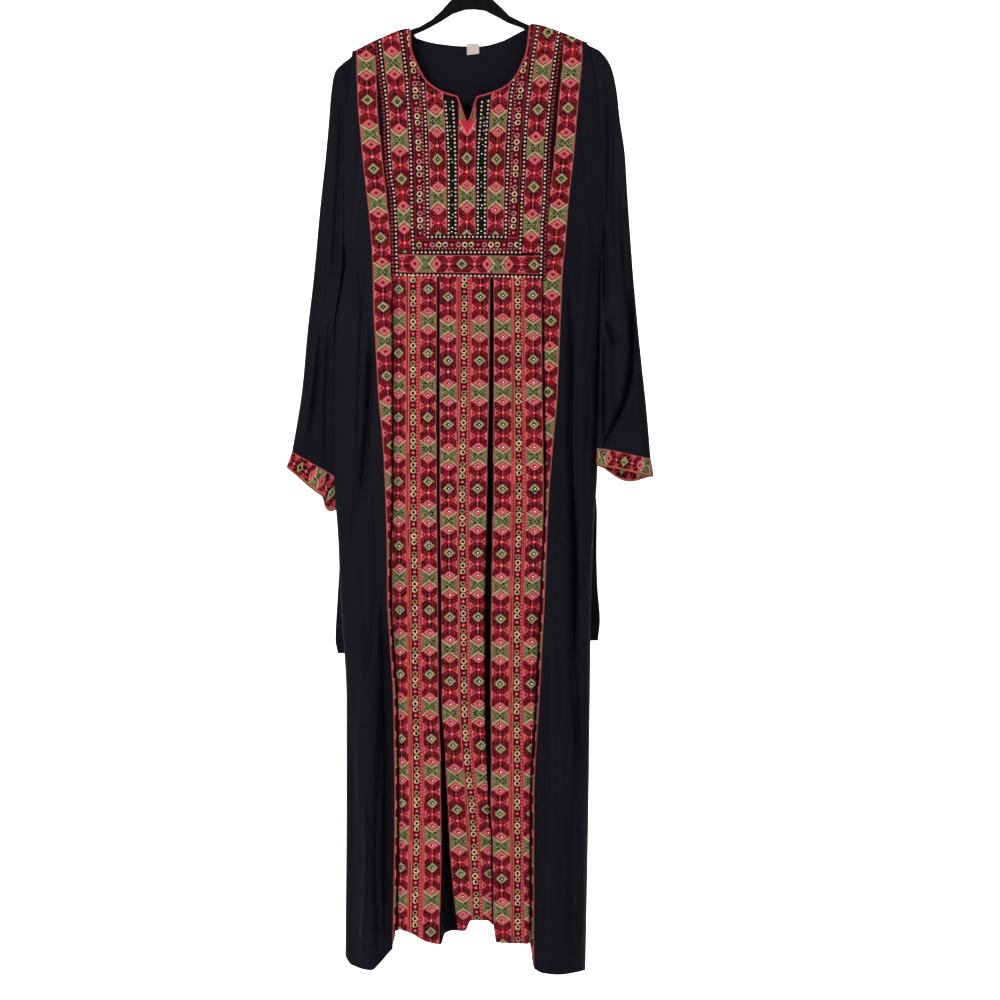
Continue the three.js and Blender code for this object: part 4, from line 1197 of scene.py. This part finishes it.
def in_outline(outline, x, z):
    inside = np.zeros(x.shape, bool)
    for (xa, za), (xb, zb) in zip(outline, np.roll(outline, -1, 0)):
        if za == zb:
            continue
        crosses = (za > z) != (zb > z)
        inside ^= crosses & (x < (xb - xa) * (z - za) / (zb - za) + xa)
    return inside


def in_neck(x, z):
    outline = np.concatenate([NECKLINE, [[90, -100], [-96, -100]]])
    return in_outline(outline, x, z)


def finish_piece(piece, nodes):
    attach(piece, "root")
    if nodes:
        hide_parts(*nodes)
    return piece


def chest_panel():
    def edge(u, z):
        return blend(strip("leftIn", z) + HALF_GAP, strip("rightIn", z) - HALF_GAP, u)

    grid = panel_grid(edge, shoulder, chest_foot, even(222), shoulder_first(392, 1.22), front_point)
    return cloth("chest_panel_cloth", grid, WORKED, embroidery, 8, keep_front, in_neck, colour=chest_dye)


def front_strip(is_left):
    name = "left" if is_left else "right"

    def edge(u, z):
        out, inner = strip(f"{name}Out", z), strip(f"{name}In", z)
        low, high = (out, inner) if is_left else (inner, out)
        return blend(low + HALF_GAP, high - HALF_GAP, u)

    bottom = hem(HEM_STRIP_LEFT if is_left else HEM_STRIP_RIGHT)
    grid = panel_grid(edge, shoulder, bottom, even(26), shoulder_first(1400, 1.25), front_point)
    return cloth(f"front_strip_{name}_cloth", grid, WORKED, embroidery, 6, keep_front,
                 colour=outer_strip_dye(name))


# The first of the skirt's knots in each pleat group, and the cells from each knot to the next: few on
# the floor and the walls of a pleat, and most on its face.
SKIRT_CELLS = {
    "left": (0, (4, 58, 7, 2)),
    "middle": (4, (2, 7, 62, 7, 2)),
    "right": (9, (2, 7, 62, 4)),
}


def skirt_knots(z):
    slit, slit_half = pleat("slitAt", z), pleat("slitHalf", z)
    tuck, tuck_half = pleat("tuckAt", z), pleat("tuckHalf", z)
    left, right = strip("leftIn", z), strip("rightIn", z)
    knots = [left + HALF_GAP, left + 2.6]
    knots += [slit + slit_half * share for share in (-1, -0.5, 0, 0.5, 1)]
    knots += [tuck + tuck_half * share for share in (-1, -0.5, 0, 0.5, 1)]
    return [*knots, right - 2.4, right - HALF_GAP]


def skirt_group(name):
    first, cells = SKIRT_CELLS[name]
    count = sum(cells)

    def edge(u, z):
        at = skirt_knots(z)[first:]
        x = np.empty_like(z)
        start = 0
        for low, high, number in zip(at, at[1:], cells):
            share = (u * count - start) / number
            here = (share >= -1e-9) & (share <= 1 + 1e-9)
            x = np.where(here, blend(low, high, np.clip(share, 0, 1)), x)
            start += number
        return x

    grid = panel_grid(edge, lambda x: chest_foot(x) - 2 * HALF_GAP, hem(HEM_SKIRT), even(count), even(790),
                      front_point)
    return cloth(f"front_skirt_{name}_cloth", grid, WORKED, embroidery, 6, keep_front, colour=skirt_dye(name))


def side_front(is_left):
    name = "left" if is_left else "right"
    places = 1 - np.cos(even(60) * math.pi / 2)

    def edge(u, z):
        if is_left:
            return blend(body("left", z), strip("leftOut", z) - HALF_GAP, u)
        return blend(strip("rightOut", z) + HALF_GAP, body("right", z), u)

    across = places if is_left else 1 - places[::-1]
    bottom = hem(HEM_SIDE_LEFT if is_left else HEM_SIDE_RIGHT)
    grid = panel_grid(edge, shoulder, bottom, across, shoulder_first(1440, 4.5), front_point)
    return cloth(f"side_front_{name}_cloth", grid, CREPE, crepe, 2, keep_front)


def back_panel():
    """The back, whose top edge follows its neckline and the shoulders."""
    def edge(u, z):
        return blend(body("right", z), body("left", z), u)

    def top(x):
        low, high = BACK_NECK["x"][0], BACK_NECK["x"][-1]
        return np.where((x > low) & (x < high), read(BACK_NECK, "x", "z", x), shoulder(x))

    side = (1 - np.cos(even(12) * math.pi / 2)) * 0.21
    places = np.concatenate([side, np.linspace(0.21, 0.79, 61)[1:-1], 1 - side[::-1]])
    grid = panel_grid(edge, top, hem(HEM_BACK), places, shoulder_first(1430, 4.8), back_point)
    return cloth("back_cloth", grid, CREPE, crepe, 2, keep_back)


# ---------- Sleeves and cuffs ----------


def sleeve_fold(x, z):
    middle, depth = read(SLEEVE_FOLD, "z", "x", z), read(SLEEVE_FOLD, "z", "depth", z)
    within = (z < SLEEVE_FOLD["z"][0]) & (z > SLEEVE_FOLD["z"][-1])
    return np.where(within, 2.0 * depth * np.exp(-(((x - middle) / 4.2) ** 2)), 0)


def sleeve_grid(rows, outer_is_left, steps, around, creases=None, first_row=0, hang=0):
    """Sections of a flat loop from its outer fold to its inner fold, front and then back.

    A sleeve's head is tucked into the armhole, and its inner fold hangs just behind the body's
    left edge or just before its right one. `first_row` is the place of the rows down the sleeve,
    and `hang` how far the lower edge hangs near the inner fold.
    """
    count = len(rows["ox"])
    index = {"i": np.arange(count, dtype=float), **rows}
    t = np.linspace(0, count - 1, steps)
    ox, oz, ix, iz, y, half = (read(index, "i", c, t)[:, None] for c in ("ox", "oz", "ix", "iz", "y", "half"))
    drop = read(index, "i", "drop", t)[:, None] if "drop" in rows else np.zeros((steps, 1))
    t = t + first_row
    length = np.hypot(ox - ix, oz - iz)
    reach = np.minimum(SHOULDER_ROUND, length * 0.2)
    s = (1 - np.cos(even(around) * math.pi))[None, :] / 2
    inward = 1 if outer_is_left else -1
    pick = np.maximum if outer_is_left else np.minimum
    behind_or_before = "back" if outer_is_left else "front"

    def run(s, side):
        thick = quarter_round(s * length, reach) * quarter_round((1 - s) * length, reach)
        fall = drop * np.sin(math.pi * s) ** 1.5 if side > 0 else 0
        sags = smooth((s - 0.68) / 0.08) * (1 - 0.7 * smooth((s - 0.8) / 0.2)) * (t[:, None] - first_row) / 2
        z = blend(oz, iz, s) - fall - hang * sags
        x = blend(ox, ix, s) + 0 * z
        edge = body("left" if outer_is_left else "right", z)
        x = blend(edge + 2 * inward, x, np.clip(t, 0, 1)[:, None])
        tucked = np.minimum(half, body("open", z) - 1.9)
        stands = blend(tucked, half, smooth((t[:, None] - 0.45) / 0.8))
        close = smooth(1 - (1 - s) * length / 10)
        x = blend(x, pick(edge + 2.2 * inward, x), close)
        depth = y + side * stands * thick
        if creases:
            depth = depth - side * CREASE_STRENGTH * fold_depth(creases, x, z) * thick
        if side < 0 and not outer_is_left:
            depth = depth + sleeve_fold(x, z)
        reaches = smooth(((x - edge) * inward + 2.5) / 2.5) * smooth((t[:, None] - 0.8) / 0.7)
        wall = wall_depth(behind_or_before, pick(x, edge), z)
        clear = inward * (wall + 1.0 + 0.5 * (1 + inward * side))
        return np.stack([x, blend(depth, pick(depth, clear), reaches), z], -1)

    front_s = s if outer_is_left else s[:, ::-1]
    front = run(front_s, -1)
    back = run(front_s[:, ::-1][:, 1:-1], 1)
    return np.concatenate([front, back], 1)


def sleeve(is_left):
    name = "left" if is_left else "right"
    inward = 1.7 if is_left else -1.7
    # The last row reaches inside the cuff.
    under = {"ox": inward, "oz": -3, "ix": -inward, "iz": -3, "y": 0, "half": -2}
    rows = {}
    for key, values in (SLEEVE_LEFT if is_left else SLEEVE_RIGHT).items():
        rows[key] = np.append(values, values[-1] + under[key])
        rows[key][-2] += HALF_GAP if key in ("oz", "iz") else 0
    grid = sleeve_grid(rows, is_left, 200, 50, SLEEVE_LEFT_CREASES if is_left else SLEEVE_RIGHT_CREASES)
    return cloth(f"sleeve_{name}_cloth", grid, CREPE, crepe, 2, closed=True)


CUFF_PHASE = {"left": 35.4, "right": 48.0}
CUFF_REPEAT = {"left": 40.0, "right": 45.0}


def cuff(is_left):
    name = "left" if is_left else "right"
    rows = CUFF_LEFT if is_left else CUFF_RIGHT
    grid = sleeve_grid(rows, is_left, 24, 70, first_row=6, hang=16 if is_left else 0)
    outer = np.array([rows["ox"][0], rows["oz"][0]])
    inner = np.array([rows["ix"][0], rows["iz"][0]])
    down = 23.0

    def dye_of(middles, row_at):
        direction = (inner - outer) / np.linalg.norm(inner - outer)
        along = ((middles[:, [0, 2]] - outer) @ direction) / UNIT
        across = (row_at + 0.5 - down / 2) / down * 17.5
        dye = star_strip(across, along - CUFF_PHASE[name], CUFF_REPEAT[name])
        dye[across > 7.6] = linear("a8604c")
        return uneven(dye)

    return cloth(f"cuff_{name}_cloth", grid, WORKED, embroidery, 1, closed=True, colour=dye_of,
                 turned_in=True)


# ---------- Trims ----------


def evenly(line, pitch):
    """Points at even spaces along a line."""
    step = np.linalg.norm(np.diff(line, axis=0), axis=1)
    run = np.concatenate([[0], np.cumsum(step)])
    places = np.linspace(0, run[-1], max(round(run[-1] / pitch), 1) + 1)
    return np.stack([np.interp(places, run, line[:, i]) for i in range(line.shape[1])], 1)


def neck_binding():
    """A braid of an oval section along the neckline, closed at its ends."""
    around, width, height, turns_each = 10, 1.5, 1.4, 0.28
    line = evenly(NECKLINE, 2.2)
    line = np.stack([line[:, 0], -wall_depth("front", line[:, 0], line[:, 1]) - 0.2, line[:, 1]], 1)
    tangent = np.gradient(line, axis=0)
    tangent /= np.linalg.norm(tangent, axis=1, keepdims=True)
    forward = np.array([0, -1.0, 0])
    sideways = np.cross(tangent, forward)
    sideways /= np.linalg.norm(sideways, axis=1, keepdims=True)
    angles = np.arange(around) * 2 * math.pi / around
    grid = (line[:, None] + np.cos(angles)[None, :, None] * sideways[:, None] * width
            + np.sin(angles)[None, :, None] * forward * height)
    grid[0] = blend(line[0], grid[0], 0.05)
    grid[-1] = blend(line[-1], grid[-1], 0.05)
    faces = grid_faces(len(line), around, True).reshape(-1, 4)
    run = np.concatenate([[0], np.cumsum(np.linalg.norm(np.diff(line, axis=0), axis=1))]) * turns_each
    r, c = faces[:, 0] // around, faces[:, 0] % around
    corners = ((r, c), (r + 1, c), (r + 1, c + 1), (r, c + 1))
    stitches = np.stack([np.stack([run[i], j / around], 1) for i, j in corners], 1).reshape(-1, 2)
    return make_object("neck_binding_braid", grid.reshape(-1, 3), faces, braid, stitches=stitches)


def neck_label():
    u, s = np.meshgrid(even(14), even(14))
    x = blend(-8, 11, u)
    z = blend(-157, -175 + 2 * u, s)
    y = wall_depth("back", x, z) - CREPE - 1.7 + 0.5 * np.sin(u * math.pi) * s
    grid = np.stack([x, y, z], -1)
    return cloth("neck_label_tape", grid, 0.6, label_material(), 2)


def tie(is_left):
    """A strap whose top end is sewn to the back, and which hangs free below."""
    rows = TIE_LEFT if is_left else TIE_RIGHT
    z = np.linspace(rows["z"][0], rows["z"][-1], 90)
    across = even(10)[None, :] - 0.5
    x = read(rows, "z", "x", z)[:, None] + across * TIE_WIDTH
    high = z[:, None] + 0 * across
    inward = 1 if is_left else -1
    sewn = np.maximum(1 - (z[0] - z) / TIE_SEWN, 0)[:, None] ** 2
    curl = 1.2 * np.sin(z / 23)[:, None] * across * 2
    seam = np.clip(x, body("left", high) + 1, body("right", high) - 1)
    on_back = wall_depth("back", seam, high) + 1.6
    y = blend(read(rows, "z", "y", z)[:, None] + curl, on_back, sewn)
    x = x + inward * 5 * sewn
    grid = np.stack([x, y, high], -1)
    name = "left" if is_left else "right"
    return cloth(f"tie_{name}_strap", grid, TIE_THICKNESS, crepe, 2)


# ---------- Pearls and stones ----------


def domes(name, centres, radius, around, levels, material, height=1.0, smooth_shading=True):
    """Small domes on the front cloth, joined in one mesh."""
    centres = np.asarray(centres, float)
    lift = np.linspace(-0.25, 0.5, levels) * math.pi
    lift[-1] = math.pi / 2 - 0.02
    angles = np.arange(around) * 2 * math.pi / around
    ring = np.stack([
        np.cos(lift)[:, None] * np.cos(angles) * radius,
        -(np.sin(lift)[:, None] + 0 * angles) * radius * height,
        np.cos(lift)[:, None] * np.sin(angles) * radius,
    ], -1).reshape(-1, 3)
    faces = grid_faces(levels, around, True).reshape(-1, 4)[:, ::-1]
    cap_start = (levels - 1) * around
    cap = [[cap_start, cap_start + i, cap_start + i + 1, cap_start + i + 2] for i in range(1, around - 2, 2)]
    faces = np.concatenate([faces, np.array(cap)[:, ::-1]])
    points = (centres[:, None] + ring[None]).reshape(-1, 3)
    shifted = (faces[None] + (np.arange(len(centres)) * len(ring))[:, None, None]).reshape(-1, 4)
    return make_object(name, points, shifted, material, smooth_shading=smooth_shading)


def on_front(u, v, lift):
    x, z = to_xz(u, v)
    return np.stack([x, -wall_depth("front", x, z) - lift, z], -1)


def u_line(left, right, top_left, top_right, foot):
    """A row of pearls: down the left side, along the foot and up the right side."""
    v_left = np.linspace(top_left, foot(0), 60)
    v_right = np.linspace(foot(1), top_right, 60)
    down = np.stack([chest_line(left, v_left), v_left], 1)
    up = np.stack([chest_line(right, v_right), v_right], 1)
    return [down, np.stack([down[-1], up[0]]), up]


def pearls():
    lines = []
    lines += u_line("outL", "outR", 42.5, 33.5, lambda side: 275.6 if side == 0 else 278.0)
    lines += u_line("midL", "midR", 34.5, 28.0, lambda side: MID_FOOT)
    lines += u_line("inL", "inR", 85.0, 81.0, lambda side: IN_FOOT)
    for name, top in (("a1", 103), ("a2", 103), ("b1", 103), ("b2", 102)):
        v = np.linspace(top, IN_FOOT - 3.8, 60)
        lines.append(np.stack([chest_line(name, v), v], 1))
    centres = np.concatenate([evenly(line, PEARL["pitch"] / UNIT) for line in lines])
    apart = np.ones(len(centres), bool)
    for i in range(1, len(centres)):
        apart[i] = (np.hypot(*(centres[:i][apart[:i]] - centres[i]).T) > 2.4).all()
    centres = centres[apart]
    return domes("chest_pearls", on_front(centres[:, 0], centres[:, 1], 0.5), PEARL["radius"], 10, 5, pearl)


def stones():
    """Rhinestones at the middles of the diamonds, with silver sequins down the dark columns."""
    places = []
    for i, (stars, _, _, lattice, repeat, _) in enumerate(GROUPS.values()):
        diamonds = (-ROSE_AT, ROSE_AT, GREEN_AT)
        for star, turn, offset in itertools.product(stars, range(-1, 11), diamonds):
            v = lattice + turn * repeat + offset * repeat / STAR_REPEAT
            u = float(read(SKIRT_LINES, "v", star, v))
            x, z = to_xz(u, v)
            edges = (strip("leftIn", z), pleat("slitAt", z), pleat("tuckAt", z), strip("rightIn", z))
            on_face = edges[i] + 5 < x < edges[i + 1] - 5
            if 282 < v < 925 and on_face and z > read(HEM_SKIRT, "x", "z", x) + 6:
                places.append((u + 0.4, v + 0.4))
    for v in np.arange(108, 236, 4.6):
        for a, b in (("a1", "a2"), ("b1", "b2")):
            if chance.random() < 0.62:
                sway = (chance.random() - 0.5) * 1.6
                places.append(((chest_line(a, v) + chest_line(b, v)) / 2 + sway, v + 2 * chance.random()))
    for left, right, _, lattice, _, _ in CHEST_STARS[2:]:
        for offset in (-12, 12, 38.7, 65.4, 89.4, 116.1):
            v = lattice + offset
            if v < 232 and not (left == "a2" and v < 140):
                places.append(((chest_line(left, v) + chest_line(right, v)) / 2, v))
    places = np.array(places, float)
    centres = on_front(places[:, 0], places[:, 1], 0.1)
    return domes("diamond_stones", centres, 1.15, 6, 3, rhinestone, 0.7, False)


# ---------- Making the dress ----------


def nodes_of(stem, *endings):
    """The CAD nodes of a piece: the stem with one word from each of the endings."""
    return ["_".join((stem, *words)) for words in itertools.product(*(e.split() for e in endings))]


def build():
    lengths = "chest hip hem"
    chest = finish_piece(chest_panel(), ["chest_panel"])
    strips, sides, sleeves, cuffs = [], [], [], []
    for side in ("left", "right"):
        is_left = side == "left"
        strip_nodes = nodes_of(f"front_strip_{side}", "chest skirt")
        strips.append(finish_piece(front_strip(is_left), strip_nodes))
        sides.append(finish_piece(side_front(is_left), nodes_of(f"side_front_{side}", lengths)))
        arm = nodes_of(f"sleeve_{side}", "front back", "upper elbow lower")
        sleeves.append(finish_piece(sleeve(is_left), arm))
        cuffs.append(finish_piece(cuff(is_left), nodes_of(f"cuff_{side}", "front back")))
    skirt = [
        finish_piece(skirt_group(name), nodes_of(f"front_skirt_{name}", "hip hem"))
        for name in GROUPS
    ]
    back_nodes = nodes_of("back", "right middle_right middle_left left", lengths)
    back = finish_piece(back_panel(), back_nodes)
    binding = finish_piece(neck_binding(), ["neck_binding"])
    label = finish_piece(neck_label(), ["neck_label"])
    ties = [finish_piece(tie(side == "left"), [f"tie_{side}"]) for side in ("left", "right")]
    chest_pearls = finish_piece(pearls(), [])
    finish_piece(stones(), [])


build()

for name, material in (("hanger_body", velvet_material()), ("hanger_hook", chrome)):
    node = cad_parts[name]
    for slot in node.material_slots:
        slot.material = material

# ---------- Floor, backdrop, lights and camera ----------


def studio():
    """A wide pale floor that curves up into a pale backdrop, far enough back to be walked round."""
    floor_z, wall_y, curve = -2.3, 9.5, 1.6
    profile = [(-24.0, floor_z)]
    for i in range(13):
        angle = i / 12 * math.pi / 2
        profile.append((wall_y - curve + math.sin(angle) * curve, floor_z + curve - math.cos(angle) * curve))
    profile.append((wall_y, 3.2))
    grid = np.array([[(x * 1000, y * 1000, z * 1000) for x in np.linspace(-24, 24, 7)] for y, z in profile])
    faces = grid_faces(len(profile), 7, False).reshape(-1, 4)
    make_object("studio_floor", grid.reshape(-1, 3), faces, paper)


def area_light(name, place, target, size, power):
    light = bpy.data.lights.new(name, "AREA")
    light.shape = "RECTANGLE"
    light.size, light.size_y = size
    light.energy = power
    lamp = bpy.data.objects.new(name, light)
    lamp.location = place
    lamp.rotation_euler = (Vector(target) - Vector(place)).to_track_quat("-Z", "Y").to_euler()
    bpy.context.collection.objects.link(lamp)


studio()
world = bpy.data.worlds.new("studio_air")
world.use_nodes = True
world.node_tree.nodes["Background"].inputs["Color"].default_value = (1, 1, 1, 1)
world.node_tree.nodes["Background"].inputs["Strength"].default_value = 0.3
bpy.context.scene.world = world
area_light("key", (-2.6, -3.0, 1.2), (0, 0, -0.8), (1.6, 1.6), 128)
area_light("fill", (2.8, -3.0, 0.2), (0, 0, -0.8), (2.0, 2.0), 34)
area_light("backdrop_wash", (0, 5.5, 3.4), (0, 6.8, -1.7), (9.0, 6.0), 1100)

camera_data = bpy.data.cameras.new("camera")
camera = bpy.data.objects.new("camera", camera_data)
bpy.context.collection.objects.link(camera)
CAMERA_DISTANCE = 6.0
camera_data.sensor_width = 36
camera_data.lens = 36 * CAMERA_DISTANCE / (UNIT * 1000 * MM)
camera.location = ((500 - U_ZERO) * UNIT * MM, -CAMERA_DISTANCE, (V_ZERO - 500 * UNIT) * MM)
camera.rotation_euler = (math.pi / 2, 0, 0)
bpy.context.scene.camera = camera
bpy.context.scene.view_settings.view_transform = "Standard"
